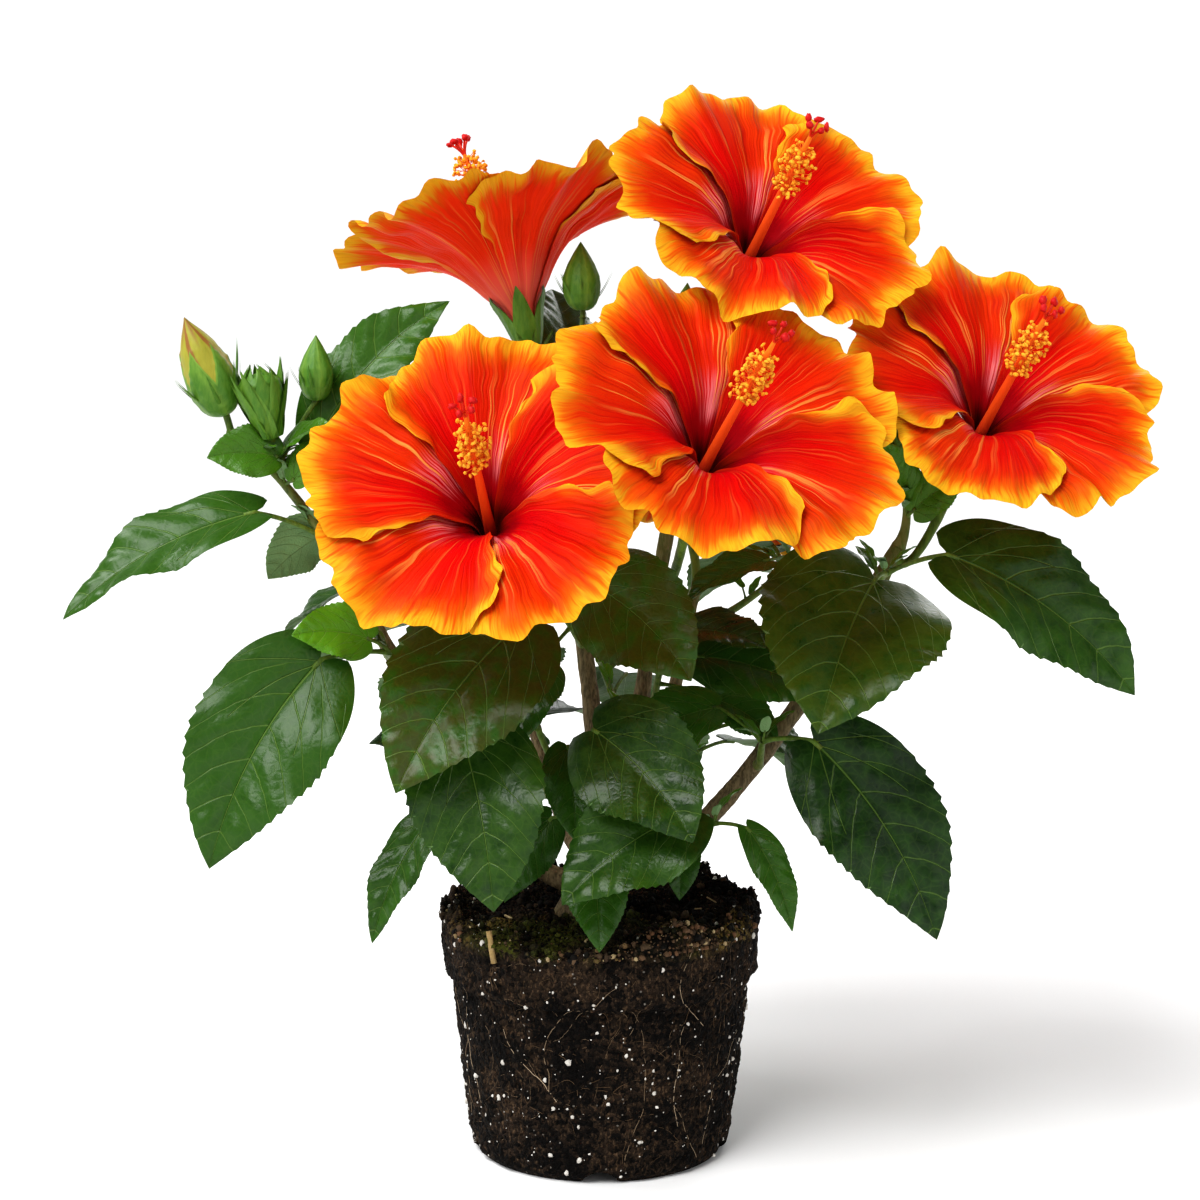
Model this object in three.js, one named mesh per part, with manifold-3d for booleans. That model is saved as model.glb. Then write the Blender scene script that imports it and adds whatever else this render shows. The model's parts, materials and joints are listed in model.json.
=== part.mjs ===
// A young Chinese hibiscus standing on its bare, pot-shaped root ball: stem, boughs, leafy shoots
// and open blooms. Millimetres, +Z up, origin at the centre of the ball's flat underside.
// Directions are a bearing (0 is +X, 90 is +Y) and a rise above the horizontal, in degrees.
import * as THREE from 'three';
import Module from 'manifold-3d';

const wasm = await Module();
wasm.setup();

// ---------------------------------------------------------------- driving sizes
const GAP = 0.3;                       // clearance between neighbouring pieces

const BALL = {
  height: 104, soil: 100, soilEdge: 100.8, flatRadius: 22, rimInner: 57, lipWidth: 4, lipRound: 3,
  rimRadius: 66, bandHeight: 28, bandFootRadius: 64.5, bandStep: 1.5, wallRadius: 61.2,
  footRadius: 53.5, footRound: 3, segments: 30,
};
const NOTCH = { count: 5, width: 12, height: 4, depth: 9, first: -90, past: 9, slope: 3 };

const LIMB_SIDES = 7;
const TWIG_SIDES = 5;
const LIMB_STEP = 22;                  // longest straight facet along a limb
const TWIG_STEP = 14;

const PETIOLE = { root: 1.15, end: 0.85, sides: 3, sink: 0.14, arch: 0.06 };
const LEAF = {
  stations: [0.03, 0.15, 0.34, 0.58, 0.8, 0.985],
  widestAt: 0.36, basePower: 0.56, width: 0.62, fold: 14, droop: 34, thickness: 1.5, lobe: 0.1,
  markShares: [0.1, 0.26, 0.42, 0.58, 0.74, 0.9], markWidths: [-0.9, -0.45, 0, 0.45, 0.9],
};
const BUD = {
  shares: [0, 0.1, 0.36, 0.68, 1], widths: [0.34, 0.72, 1, 0.66, 0.12], sides: 6,
  stalk: [1.2, 1.1, 1.1, 1.1], stalkSides: 4, sink: 0.12, arch: 1,
};
const PETAL = {
  count: 5, length: 88, halfAngle: 50, twist: 5, thickness: 1.7, throat: 3.2,
  stations: [0, 0.22, 0.46, 0.7, 0.88, 1], across: 4, steps: 40,
  steep: 14, open: 76, openFrom: 0.05, openTo: 0.62, curl: 16, curlFrom: 0.6,
  shoulder: 0.22, shoulderPower: 3, ruffle: 3.6, waves: 2.5, waveShift: 2.1,
};
const COLUMN = {
  length: 84, foot: 8, straight: 0.3, sides: 5,
  shares: [0, 0.3, 0.56, 0.64, 0.78, 0.88, 0.93, 1], radii: [2.6, 1.6, 1.6, 6.2, 6.8, 5.6, 1.6, 1.2],
};
const PAD = { count: 5, from: 0.97, spread: 0.8, marks: [0, 3.4, 4.2, 6.2], radii: [0.8, 0.8, 1.6, 0.8] };
const CALYX = {
  rings: [[1.2, -2], [3.4, 0], [6.6, 7], [8.2, 14], [4, 13]], mouth: 3, lobe: 7, sides: 10, heart: 7,
};
const STALK = { root: 1.7, end: 2.2, lift: 12 };

const ELBOW = 6;                       // a grown leaf keeps this far from its neighbours
const GOLDEN = 137.5;                  // degrees from one leaf to the next round a stem
const REACH = { petal: 2, petalShares: [0.4, 0.6, 0.8, 1] };

// ---------------------------------------------------------------- directions, random numbers, curves
const rad = THREE.MathUtils.degToRad;
const point = (x, y, z) => new THREE.Vector3(x, y, z);
const mix = (a, b, t) => a + (b - a) * t;

function aim(bearing, rise) {
  const level = Math.cos(rad(rise));
  return point(level * Math.cos(rad(bearing)), level * Math.sin(rad(bearing)), Math.sin(rad(rise)));
}

function seeded(seed) {
  let state = seed;
  return () => {
    state = (state * 1664525 + 1013904223) % 4294967296;
    return state / 4294967296;
  };
}

function flatten(vector, along) {
  return vector.clone().addScaledVector(along, -vector.dot(along)).normalize();
}

function circle(sides, radius, z) {
  return Array.from({ length: sides }, (_, k) => {
    const turn = 2 * Math.PI * k / sides;
    return point(radius * Math.cos(turn), radius * Math.sin(turn), z);
  });
}

// ---------------------------------------------------------------- closed meshes
function toSolid(points, triangles) {
  const vertProperties = new Float32Array(points.flatMap((p) => [p.x, p.y, p.z]));
  const triVerts = new Uint32Array(triangles.flat());
  return new wasm.Manifold(new wasm.Mesh({ numProp: 3, vertProperties, triVerts }));
}

function fuse(parts) {
  const bodies = wasm.Manifold.union(parts).simplify(0.12).decompose();
  return bodies.reduce((best, body) => (body.volume() > best.volume() ? body : best));
}

// A closed skin over rings of equal length; the first and last ring are capped by a centre point.
function loft(rings) {
  const sides = rings[0].length;
  const points = rings.flat();
  const triangles = [];
  for (let r = 0; r + 1 < rings.length; r += 1) {
    for (let i = 0; i < sides; i += 1) {
      const a = r * sides + i;
      const b = r * sides + (i + 1) % sides;
      triangles.push([a, b, b + sides], [a, b + sides, a + sides]);
    }
  }
  for (const [ring, first, flip] of [[rings[0], 0, true], [rings.at(-1), points.length - sides, false]]) {
    const centre = ring.reduce((sum, p) => sum.add(p), point(0, 0, 0)).divideScalar(sides);
    points.push(centre);
    for (let i = 0; i < sides; i += 1) {
      const a = first + i;
      const b = first + (i + 1) % sides;
      triangles.push(flip ? [points.length - 1, b, a] : [points.length - 1, a, b]);
    }
  }
  return toSolid(points, triangles);
}

// A round bar through the points, with a radius at each.
function bar(points, radii, sides, given) {
  const tangents = given ?? points.map((p, i) => points[Math.min(i + 1, points.length - 1)].clone()
    .sub(points[Math.max(i - 1, 0)]).normalize());
  let across = flatten(Math.abs(tangents[0].z) < 0.9 ? point(0, 0, 1) : point(1, 0, 0), tangents[0]);
  const rings = points.map((p, i) => {
    across = flatten(across, tangents[i]);
    const up = tangents[i].clone().cross(across);
    return Array.from({ length: sides }, (_, k) => {
      const turn = 2 * Math.PI * k / sides;
      return p.clone().addScaledVector(across, radii[i] * Math.cos(turn))
        .addScaledVector(up, radii[i] * Math.sin(turn));
    });
  });
  return loft(rings);
}

// A thin leaf-like body: a grid of points, thickened along its normals, with a sharp edge all round.
function sheet(grid, thickness) {
  const rows = grid.length;
  const columns = grid[0].length;
  const points = grid.flat();
  const upper = (i, j) => i * columns + j;
  const lower = new Map();
  const inside = (i, j) => i > 0 && j > 0 && i < rows - 1 && j < columns - 1;
  for (let i = 0; i < rows; i += 1) {
    for (let j = 0; j < columns; j += 1) {
      if (!inside(i, j)) continue;
      const along = grid[i + 1][j].clone().sub(grid[i - 1][j]);
      const across = grid[i][j + 1].clone().sub(grid[i][j - 1]);
      const normal = across.cross(along).normalize();
      lower.set(upper(i, j), points.length);
      points.push(grid[i][j].clone().addScaledVector(normal, -thickness / 2));
      grid[i][j].addScaledVector(normal, thickness / 2);
    }
  }
  const under = (index) => lower.get(index) ?? index;
  const triangles = [];
  for (let i = 0; i + 1 < rows; i += 1) {
    for (let j = 0; j + 1 < columns; j += 1) {
      const [a, b, c, d] = [upper(i, j), upper(i, j + 1), upper(i + 1, j + 1), upper(i + 1, j)];
      const left = 2 * (j + 1) <= columns;
      for (const [p, q, r] of left ? [[a, b, c], [a, c, d]] : [[a, b, d], [b, c, d]]) {
        triangles.push([p, q, r], [under(p), under(r), under(q)]);
      }
    }
  }
  return toSolid(points, triangles);
}

// ---------------------------------------------------------------- root ball
// Peat and roots that kept the shape of the pot: a banded rim, a tapering wall, notches round the foot.
function rootBall() {
  const b = BALL;
  const profile = [
    [b.footRadius - b.footRound, 0], [b.footRadius, b.footRound],
    [mix(b.footRadius, b.wallRadius, 0.5), b.height / 3],
    [b.wallRadius, b.height - b.bandHeight - b.bandStep], [b.bandFootRadius, b.height - b.bandHeight],
    [b.rimRadius, b.height - b.lipRound], [b.rimRadius - b.lipWidth, b.height],
    [b.rimInner, b.soilEdge], [b.flatRadius, b.soil],
  ];
  let ball = loft(profile.map(([r, z]) => circle(b.segments, r, z)));
  const foot = b.footRadius - NOTCH.depth;
  const beyond = b.footRadius + NOTCH.past;
  const section = [[foot, -1], [beyond, -1], [beyond, 2 * NOTCH.height], [foot + NOTCH.slope, NOTCH.height]];
  for (let i = 0; i < NOTCH.count; i += 1) {
    const out = aim(NOTCH.first + i * 360 / NOTCH.count, 0);
    const side = point(-out.y, out.x, 0);
    const wedge = [1, -1].map((s) => section.map(([r, z]) => (
      point(0, 0, z).addScaledVector(out, r).addScaledVector(side, s * NOTCH.width / 2))));
    ball = ball.subtract(loft(wedge));
  }
  return ball;
}

// ---------------------------------------------------------------- limbs and stems
// Each limb leaves its parent at a share of its length: at share 1 it carries on from the tip, and
// otherwise it starts square to the parent's side, towards `out`. It ends at `tip`, rising by `arrive`.
const LIMBS = {
  main_stem: {
    from: [-8, 0, BALL.soil + GAP], tip: [-3, 2, 134], leave: 90, arrive: 84, radii: [7.6, 6.2], flare: 3.4,
    step: 7,
  },
  bough_left: { on: 'main_stem', at: 0.34, out: 178, tip: [-109, -16, 256], arrive: 60, radii: [4, 2.7] },
  bough_right: { on: 'main_stem', at: 0.4, out: -8, tip: [121, -6, 254], arrive: 62, radii: [4.6, 3.2] },
  bough_centre: { on: 'main_stem', at: 1, tip: [-21, 22, 302], arrive: 82, radii: [4.3, 2.3] },
  bough_back: { on: 'main_stem', at: 0.84, out: 55, tip: [46, 25, 318], arrive: 62, radii: [4.4, 2.4] },
  bough_rear_left: {
    on: 'main_stem', at: 0.74, out: 125, tip: [-38, 44, 204], arrive: 60, radii: [3.6, 2.5],
  },
  bough_rear_right: {
    on: 'bough_right', at: 0.13, out: 88, tip: [40, 48, 226], arrive: 66, radii: [3.5, 2.4],
  },
};

const limbs = {};                      // name -> { curve, radiusAt }

function route(spec) {
  const tip = point(...spec.tip);
  let start = spec.from && point(...spec.from);
  let leaving = aim(0, spec.leave ?? 0);
  let pull = 1 / 3;
  if (spec.on) {
    const parent = limbs[spec.on];
    const tangent = parent.curve.getTangent(spec.at);
    leaving = spec.at === 1 ? tangent : flatten(aim(spec.out, 0), tangent);
    const clear = spec.at === 1 ? GAP : parent.radiusAt(spec.at) + 2 * GAP;
    start = parent.curve.getPoint(spec.at).addScaledVector(leaving, clear);
    pull = spec.at === 1 ? pull : pull / 2;
  }
  const chord = tip.clone().sub(start);
  const arriving = aim(THREE.MathUtils.radToDeg(Math.atan2(chord.y, chord.x)), spec.arrive);
  const span = chord.length();
  const curve = new THREE.CubicBezierCurve3(
    start, start.clone().addScaledVector(leaving, span * pull),
    tip.clone().addScaledVector(arriving, -span / 3), tip,
  );
  const flare = spec.flare ?? 0;
  const radiusAt = (t) => mix(spec.radii[0], spec.radii[1], t) + flare * Math.max(0, 1 - 3 * t) ** 2;
  return { curve, radiusAt, span };
}

function stemSolid(limb, sides, longest) {
  const steps = Math.max(2, Math.ceil(limb.span / longest));
  const shares = Array.from({ length: steps + 1 }, (_, i) => i / steps);
  const tangents = shares.map((t) => limb.curve.getTangent(t));
  return bar(shares.map((t) => limb.curve.getPoint(t)), shares.map(limb.radiusAt), sides, tangents);
}

// ---------------------------------------------------------------- leaves
function leafWidth(t) {
  const { widestAt: widest, basePower } = LEAF;
  return (t / widest) ** basePower * ((1 - t) / (1 - widest)) ** (basePower * (1 - widest) / widest);
}

// The midrib starts at the petiole's end and droops along its length; the halves fold up from it.
function leafFrame(leaf) {
  const steps = 24;
  const stations = [{ at: leaf.base.clone(), along: aim(leaf.bearing, leaf.rise + LEAF.droop / 2) }];
  for (let i = 1; i <= steps; i += 1) {
    const along = aim(leaf.bearing, leaf.rise + LEAF.droop * (0.5 - i / steps));
    stations.push({ at: stations[i - 1].at.clone().addScaledVector(along, leaf.length / steps), along });
  }
  return (t) => {
    const { at, along } = stations[Math.round(t * steps)];
    const normal = flatten(leaf.face, along);
    return { at, along, normal, side: along.clone().cross(normal) };
  };
}

function leafPoint(leaf, frameAt, t, v) {
  const { at, along, normal, side } = frameAt(t);
  const half = leaf.length * leaf.width / 2 * leafWidth(t) * v;
  const back = LEAF.lobe * leaf.length * Math.abs(v) * Math.max(0, 1 - t / LEAF.widestAt);
  return at.clone().addScaledVector(side, half * Math.cos(rad(LEAF.fold)))
    .addScaledVector(normal, Math.abs(half) * Math.sin(rad(LEAF.fold)))
    .addScaledVector(along, -back);
}

function leafSolids(leaf) {
  const frameAt = leafFrame(leaf);
  const grid = LEAF.stations.map((t) => [-1, 0, 1].map((v) => leafPoint(leaf, frameAt, t, v)));
  const into = leafPoint(leaf, frameAt, PETIOLE.sink, 0);
  const middle = leaf.root.clone().lerp(into, 0.5).add(point(0, 0, leaf.petiole * PETIOLE.arch));
  const radii = [PETIOLE.root, mix(PETIOLE.root, PETIOLE.end, 0.5), PETIOLE.end];
  return [sheet(grid, LEAF.thickness), bar([leaf.root, middle, into], radii, PETIOLE.sides)];
}

// Points spread over a leaf, by which it keeps clear of its neighbours.
function leafMarks(leaf) {
  const frameAt = leafFrame(leaf);
  const marks = [leaf.root.clone().lerp(leaf.base, 0.6)];
  for (const t of LEAF.markShares) marks.push(...LEAF.markWidths.map((v) => leafPoint(leaf, frameAt, t, v)));
  return marks;
}

// ---------------------------------------------------------------- buds
// A closed bud on its stalk: a ribbed spindle, widest low down.
function budSolids({ root, base, bearing, rise, length, width }) {
  const along = aim(bearing, rise);
  const spine = BUD.shares.map((t) => base.clone().addScaledVector(along, t * length));
  const middle = root.clone().lerp(base, 0.5).add(point(0, 0, BUD.arch));
  const stalkEnd = base.clone().addScaledVector(along, length * BUD.sink);
  return [
    bar(spine, BUD.widths.map((w) => w * width / 2), BUD.sides),
    bar([root, middle, base, stalkEnd], BUD.stalk, BUD.stalkSides),
  ];
}

// ---------------------------------------------------------------- shoots
// A shoot is one stem with its leaves. `leaves` are aimed by hand, each row being
//   [share of the stem, petiole bearing, rise, length, blade bearing, rise, length, face, width share]
// where face is the angle the upper side looks, from the front (0) over the top (90) to the back (180).
// `grow` is how many more leaves follow by the seeded rule, inside `room` (centre and half-sizes).
const SHOOTS = {
  shoot_left_tip: {
    on: 'bough_left', at: 1, tip: [-147, -20, 302], arrive: 40, radii: [2.2, 1.2],
    leaves: [
      [0.06, -158, 22, 31, -168, -27, 88, 64, 0.42], [0.14, 30, -12, 8, -168, -34, 34, 150, 0.85],
      [0.62, -110, 12, 9, -165, 2, 29, 34, 0.8], [0.62, 8, 34, 22, 14, 46, 78, 20, 0.46],
      [0.7, -35, 32, 12, -30, 28, 26, 60], [0.5, -60, 20, 8, -40, 38, 26, 40],
    ],
    buds: [
      [1, -170, 50, 3, -166, 68, 42, 21], [0.66, -90, 62, 18, -120, 78, 26, 21],
      [0.6, 8, 60, 34, 90, 88, 26, 14],
    ],
  },
  shoot_left_low: {
    on: 'bough_left', at: 0.74, out: -100, tip: [-84, -25, 214], arrive: 20, radii: [1.7, 1.3],
    leaves: [[1, -150, 0, 31, -150, -57, 95, 16, 0.62], [1, -130, 30, 14, -155, 18, 34, 55]],
  },
  shoot_low_left: {
    on: 'bough_left', at: 0.4, out: -140, tip: [-54, -14, 160], arrive: 0, radii: [1.6, 1.2],
    leaves: [[1, -140, -38, 22, -146, -58, 58, 60, 0.38], [0.9, -125, 45, 24, 176, 0, 30, 60]],
  },
  shoot_front_left: {
    on: 'bough_centre', at: 0.07, out: -128, tip: [-25, -30, 184], arrive: 62, radii: [1.9, 1.3],
    leaves: [[1, -140, 8, 40, -66, -62, 76, 18, 0.74], [0.7, -60, 30, 16, -80, -62, 40, 20]],
  },
  shoot_front_high: {
    on: 'bough_centre', at: 0.46, out: -95, tip: [-14, -14, 226], arrive: 30, radii: [1.8, 1.4],
    leaves: [
      [1, -115, 8, 36, -140, -42, 90, 26, 0.7], [1, -58, 40, 26, -36, -34, 60, 16, 0.8],
      [0.7, -130, -35, 22, -110, -40, 44, 40],
    ],
  },
  shoot_front_low: {
    on: 'main_stem', at: 0.8, out: -80, tip: [4, -30, 158], arrive: 60, radii: [1.9, 1.4],
    leaves: [
      [1, -105, 50, 40, -40, -36, 64, 24, 0.8], [0.85, -46, 6, 50, -160, -30, 66, 40, 0.7],
      [0.4, -95, 0, 26, -85, -50, 44, 30], [0.7, 170, -6, 22, -150, -55, 40, 30],
    ],
  },
  shoot_front_right: {
    on: 'bough_back', at: 0.42, out: -50, tip: [26, -4, 208], arrive: 40, radii: [1.7, 1.3],
    leaves: [
      [1, -50, 8, 22, -30, -12, 62, 50], [0.9, -72, 40, 24, -40, 0, 46, 60],
      [0.6, -20, -10, 22, -25, -26, 36, 40],
    ],
  },
  shoot_right_low: {
    on: 'bough_right', at: 0.3, out: -95, tip: [46, -20, 142], arrive: 20, radii: [1.5, 1.2],
    leaves: [[1, -38, 2, 17, -36, -60, 46, 60, 0.36], [0.8, -130, -10, 14, -100, -60, 26, 30]],
  },
  shoot_right_mid: {
    on: 'bough_right', at: 0.52, out: -75, tip: [66, -22, 177], arrive: 20, radii: [1.7, 1.3],
    leaves: [[1, -20, 4, 21, -25, -54, 95, 20, 0.56], [0.9, 150, 30, 24, -160, -20, 44, 40]],
  },
  shoot_right_high: {
    on: 'bough_right', at: 0.9, out: -85, tip: [114, -24, 246], arrive: 20, radii: [1.7, 1.4],
    leaves: [
      [1, -108, 0, 16, -112, -34, 86, 24, 0.9], [0.9, -22, 20, 28, -2, -36, 96, 44, 0.56],
      [0.6, 120, 0, 24, 95, -20, 46, 120],
    ],
  },
  shoot_right_tip: {
    on: 'bough_right', at: 1, tip: [124, -2, 288], arrive: 80, radii: [2, 1.2],
    leaves: [
      [0.35, -70, 30, 8, -40, 30, 34, 30], [0.5, -110, 30, 8, -120, 55, 30, 20],
      [0.7, 120, 50, 10, 110, 40, 40, 100], [0.85, 170, 60, 8, 150, 62, 30, 60],
    ],
    buds: [[0.6, -40, 30, 12, -45, 50, 24, 13], [1, 90, 80, 3, 100, 84, 28, 14]],
  },
  shoot_top_left: {
    on: 'bough_centre', at: 0.9, out: 10, tip: [-7, 22, 344], arrive: 84, radii: [1.7, 1.2],
    leaves: [[0.55, -30, 30, 14, 5, 14, 52, 70], [0.4, -150, 20, 18, -176, -20, 44, 70]],
    buds: [[1, 100, 85, 3, 100, 80, 28, 16]],
  },
  shoot_top_right: {
    on: 'bough_back', at: 0.84, out: -120, tip: [34, 2, 332], arrive: 70, radii: [1.6, 1.2],
    leaves: [[0.5, -150, 10, 14, 170, 5, 34, 60]],
    buds: [[1, 90, 80, 4, 60, 84, 24, 13]],
  },
  shoot_rear_top: {
    on: 'bough_centre', at: 0.72, out: 100, tip: [-8, 62, 306], arrive: 70, radii: [1.8, 1.2],
    leaves: [
      [1, 110, 50, 14, 105, 40, 50, 110], [0.9, 160, 35, 14, 142, 18, 46, 110],
      [0.76, 75, 60, 16, 60, 62, 36, 130],
    ],
  },
  shoot_rear_low_left: {
    on: 'bough_rear_left', at: 0.4, out: 150, tip: [-50, 50, 166], arrive: 30, radii: [1.9, 1.2],
    seed: 14, first: 60, grow: 6, room: [[-40, 72, 150], [64, 90, 70]],
  },
  shoot_rear_left: {
    on: 'bough_rear_left', at: 0.8, out: -170, tip: [-76, 44, 226], arrive: 60, radii: [1.9, 1.2],
    seed: 5, first: 100, grow: 7, room: [[-65, 75, 220], [80, 95, 80]],
  },
  shoot_rear_middle: {
    on: 'bough_back', at: 0.36, out: 100, tip: [0, 76, 190], arrive: 30, radii: [1.9, 1.2],
    seed: 23, first: 40, grow: 7, room: [[0, 85, 180], [75, 90, 90]],
  },
  shoot_rear_low_right: {
    on: 'bough_rear_right', at: 0.36, out: 60, tip: [44, 66, 160], arrive: 20, radii: [1.9, 1.2],
    seed: 17, first: 20, grow: 6, room: [[40, 82, 150], [64, 90, 70]],
  },
  shoot_rear_right: {
    on: 'bough_rear_right', at: 0.9, out: 10, tip: [82, 48, 240], arrive: 50, radii: [1.9, 1.2],
    seed: 31, first: 150, grow: 7, room: [[80, 60, 220], [85, 95, 80]],
  },
};
const GROWN = {
  firstAt: 0.3, turnJitter: 30, petioleRise: [0, 30], petiole: [16, 34], riseLow: -58, riseHigh: -22,
  riseJitter: 16, lengthLow: 84, lengthHigh: 56, lengthJitter: 14, face: 70, tries: 6,
};

const placed = [];                     // { at, reach, owner } of all that a grown leaf must clear

function keepClear(at, reach, owner) {
  placed.push({ at, reach, owner });
}

function isClear(marks, owner) {
  const others = placed.filter((thing) => thing.owner !== owner);
  return marks.every((mark) => others.every(({ at, reach }) => at.distanceTo(mark) > reach + ELBOW));
}

function inRoom(marks, [centre, half]) {
  return marks.every((mark) => {
    const share = mark.clone().sub(point(...centre)).divide(point(...half));
    return share.length() < 1;
  });
}

function offStem(stem, share, bearing, rise, length) {
  const root = stem.curve.getPoint(share);
  return { root, base: root.clone().addScaledVector(aim(bearing, rise), length) };
}

function handLeaf(stem, [share, petBearing, petRise, petiole, bearing, rise, length, face, width]) {
  return {
    ...offStem(stem, share, petBearing, petRise, petiole), petiole, bearing, rise, length,
    face: aim(-90, face), width: width ?? LEAF.width,
  };
}

function handBud(stem, [share, stalkBearing, stalkRise, stalk, bearing, rise, length, width]) {
  return { ...offStem(stem, share, stalkBearing, stalkRise, stalk), bearing, rise, length, width };
}

function grownLeaves(name, stem, spec) {
  const g = GROWN;
  const random = seeded(spec.seed);
  const jitter = (size) => size * (2 * random() - 1);
  const leaves = [];
  for (let i = 0; i < spec.grow; i += 1) {
    const share = mix(g.firstAt, 1, i / (spec.grow - 1));
    for (let attempt = 0; attempt < g.tries; attempt += 1) {
      const bearing = spec.first + i * GOLDEN + jitter(g.turnJitter);
      const petiole = mix(...g.petiole, random());
      const rise = mix(g.riseLow, g.riseHigh, share) + jitter(g.riseJitter);
      const length = mix(g.lengthLow, g.lengthHigh, share) + jitter(g.lengthJitter);
      const leaf = {
        ...offStem(stem, share, bearing, mix(...g.petioleRise, random()), petiole), petiole,
        bearing: bearing + jitter(g.turnJitter), rise, length, face: aim(bearing, g.face), width: LEAF.width,
      };
      const marks = leafMarks(leaf);
      if (inRoom(marks, spec.room) && isClear(marks, name)) {
        leaves.push(leaf);
        marks.forEach((mark) => keepClear(mark, 0, name));
        break;
      }
    }
  }
  return leaves;
}

// ---------------------------------------------------------------- blooms
// An open bloom: five overlapping petals round a stamen column, in a calyx on its stalk. `calyx` is
// where the stalk meets the calyx; `column` is the way the stamens lean; `spin` turns the petals.
const BLOOMS = {
  bloom_front_left: {
    on: 'bough_centre', at: 0.6, out: -110, calyx: [-42, -32, 258], face: [-97, 40],
    column: [-100, 53], spin: 92, size: 1,
  },
  bloom_front_right: {
    on: 'bough_back', at: 0.62, out: -80, calyx: [35, -62, 283], face: [-64, 48],
    column: [-50, 52], spin: 91, size: 1,
  },
  bloom_top: {
    on: 'bough_back', at: 1, calyx: [55, 22, 356], face: [-62, 50],
    column: [-50, 54], spin: 84, size: 0.95,
  },
  bloom_right: {
    on: 'bough_right', at: 0.97, out: 5, calyx: [149, 1, 289], face: [-68, 48],
    column: [-56, 52], spin: 86, size: 0.94,
  },
  bloom_left_top: {
    on: 'bough_centre', at: 1, calyx: [-28, 26, 329], face: [127, 66],
    column: [135, 66], spin: 235, size: 1.02, open: 64,
  },
  bloom_rear_left: {
    on: 'bough_rear_left', at: 1, calyx: [-46, 52, 236], face: [112, 35],
    column: [112, 45], spin: 90, size: 0.85,
  },
  bloom_rear_right: {
    on: 'bough_rear_right', at: 1, calyx: [38, 57, 250], face: [70, 40],
    column: [70, 48], spin: 40, size: 0.85,
  },
};

// How far out from the axis (r) and along it (h) a petal has come at a share of its length.
function petalProfile(share, open) {
  const step = PETAL.length / PETAL.steps;
  let r = PETAL.throat;
  let h = 0;
  for (let i = 0; i < Math.round(share * PETAL.steps); i += 1) {
    const s = (i + 0.5) / PETAL.steps;
    const opening = THREE.MathUtils.smoothstep(s, PETAL.openFrom, PETAL.openTo);
    const curling = Math.max(0, s - PETAL.curlFrom) / (1 - PETAL.curlFrom);
    const lean = rad(mix(PETAL.steep, open, opening) + PETAL.curl * curling);
    r += Math.sin(lean) * step;
    h += Math.cos(lean) * step;
  }
  return { r, h };
}

function petalPoint(petal, s, v, open) {
  const reach = s * (1 - PETAL.shoulder * Math.abs(v) ** PETAL.shoulderPower);
  const { r, h } = petalProfile(reach, open);
  const turn = rad(petal * 360 / PETAL.count + v * PETAL.halfAngle);
  const wave = PETAL.ruffle * s ** 3 * Math.sin(Math.PI * PETAL.waves * v + petal * PETAL.waveShift);
  const lift = PETAL.twist * v * Math.min(1, 2 * s) + wave;
  return point(r * Math.cos(turn), r * Math.sin(turn), h + lift);
}

function bloomFrame(axis) {
  const up = flatten(point(0, 0, 1), axis);
  return new THREE.Matrix4().makeBasis(up.clone().cross(axis), up, axis);
}

function bloomPlace(spec) {
  return new THREE.Matrix4().makeTranslation(...spec.calyx).multiply(bloomFrame(aim(...spec.face)))
    .multiply(new THREE.Matrix4().makeRotationZ(rad(spec.spin)))
    .multiply(new THREE.Matrix4().makeScale(spec.size, spec.size, spec.size));
}

function petalGrid(spec, petal, stations, across) {
  const place = bloomPlace(spec);
  return stations.map((s) => Array.from({ length: across + 1 }, (_, j) => (
    petalPoint(petal, s, 2 * j / across - 1, spec.open ?? PETAL.open)
      .add(point(0, 0, CALYX.heart)).applyMatrix4(place))));
}

function bloomMarks(spec) {
  const petals = Array.from({ length: PETAL.count }, (_, petal) => petal);
  return petals.flatMap((petal) => petalGrid(spec, petal, REACH.petalShares, PETAL.across)).flat();
}

// The column rises straight from the throat, then leans; its tip forks into the pads.
function columnSolids(spec) {
  const axis = aim(...spec.face);
  const length = COLUMN.length * spec.size;
  const foot = point(...spec.calyx).addScaledVector(axis, COLUMN.foot);
  const bend = foot.clone().addScaledVector(axis, length * COLUMN.straight);
  const end = bend.clone().addScaledVector(aim(...spec.column), length * (1 - COLUMN.straight));
  const curve = new THREE.QuadraticBezierCurve3(foot, bend, end);
  const solids = [bar(COLUMN.shares.map((t) => curve.getPoint(t)), COLUMN.radii, COLUMN.sides)];
  const fork = curve.getPoint(PAD.from);
  const onward = curve.getTangent(1);
  const around = flatten(point(1, 0, 0), onward);
  for (let k = 0; k < PAD.count; k += 1) {
    const out = around.clone().applyAxisAngle(onward, 2 * Math.PI * k / PAD.count);
    const way = onward.clone().addScaledVector(out, PAD.spread).normalize();
    solids.push(bar(PAD.marks.map((d) => fork.clone().addScaledVector(way, d)), PAD.radii, PETIOLE.sides));
  }
  return solids;
}

function calyxSolid(spec) {
  const place = bloomPlace(spec);
  return loft(CALYX.rings.map(([r, z], ring) => circle(CALYX.sides, r, z).map((p, k) => {
    p.z += ring === CALYX.mouth && k % 2 === 0 ? CALYX.lobe : 0;
    return p.applyMatrix4(place);
  })));
}

function bloomSolids(spec) {
  const petals = Array.from({ length: PETAL.count }, (_, petal) => (
    sheet(petalGrid(spec, petal, PETAL.stations, PETAL.across), PETAL.thickness)));
  return [...petals, calyxSolid(spec), ...columnSolids(spec)];
}

// ---------------------------------------------------------------- assembly
const colours = {
  soil: ['#2b211a', 0.95], bark: ['#6f5a3e', 0.8], foliage: ['#24492a', 0.5], petals: ['#f0501a', 0.6],
};
const plant = new THREE.Group();

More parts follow.
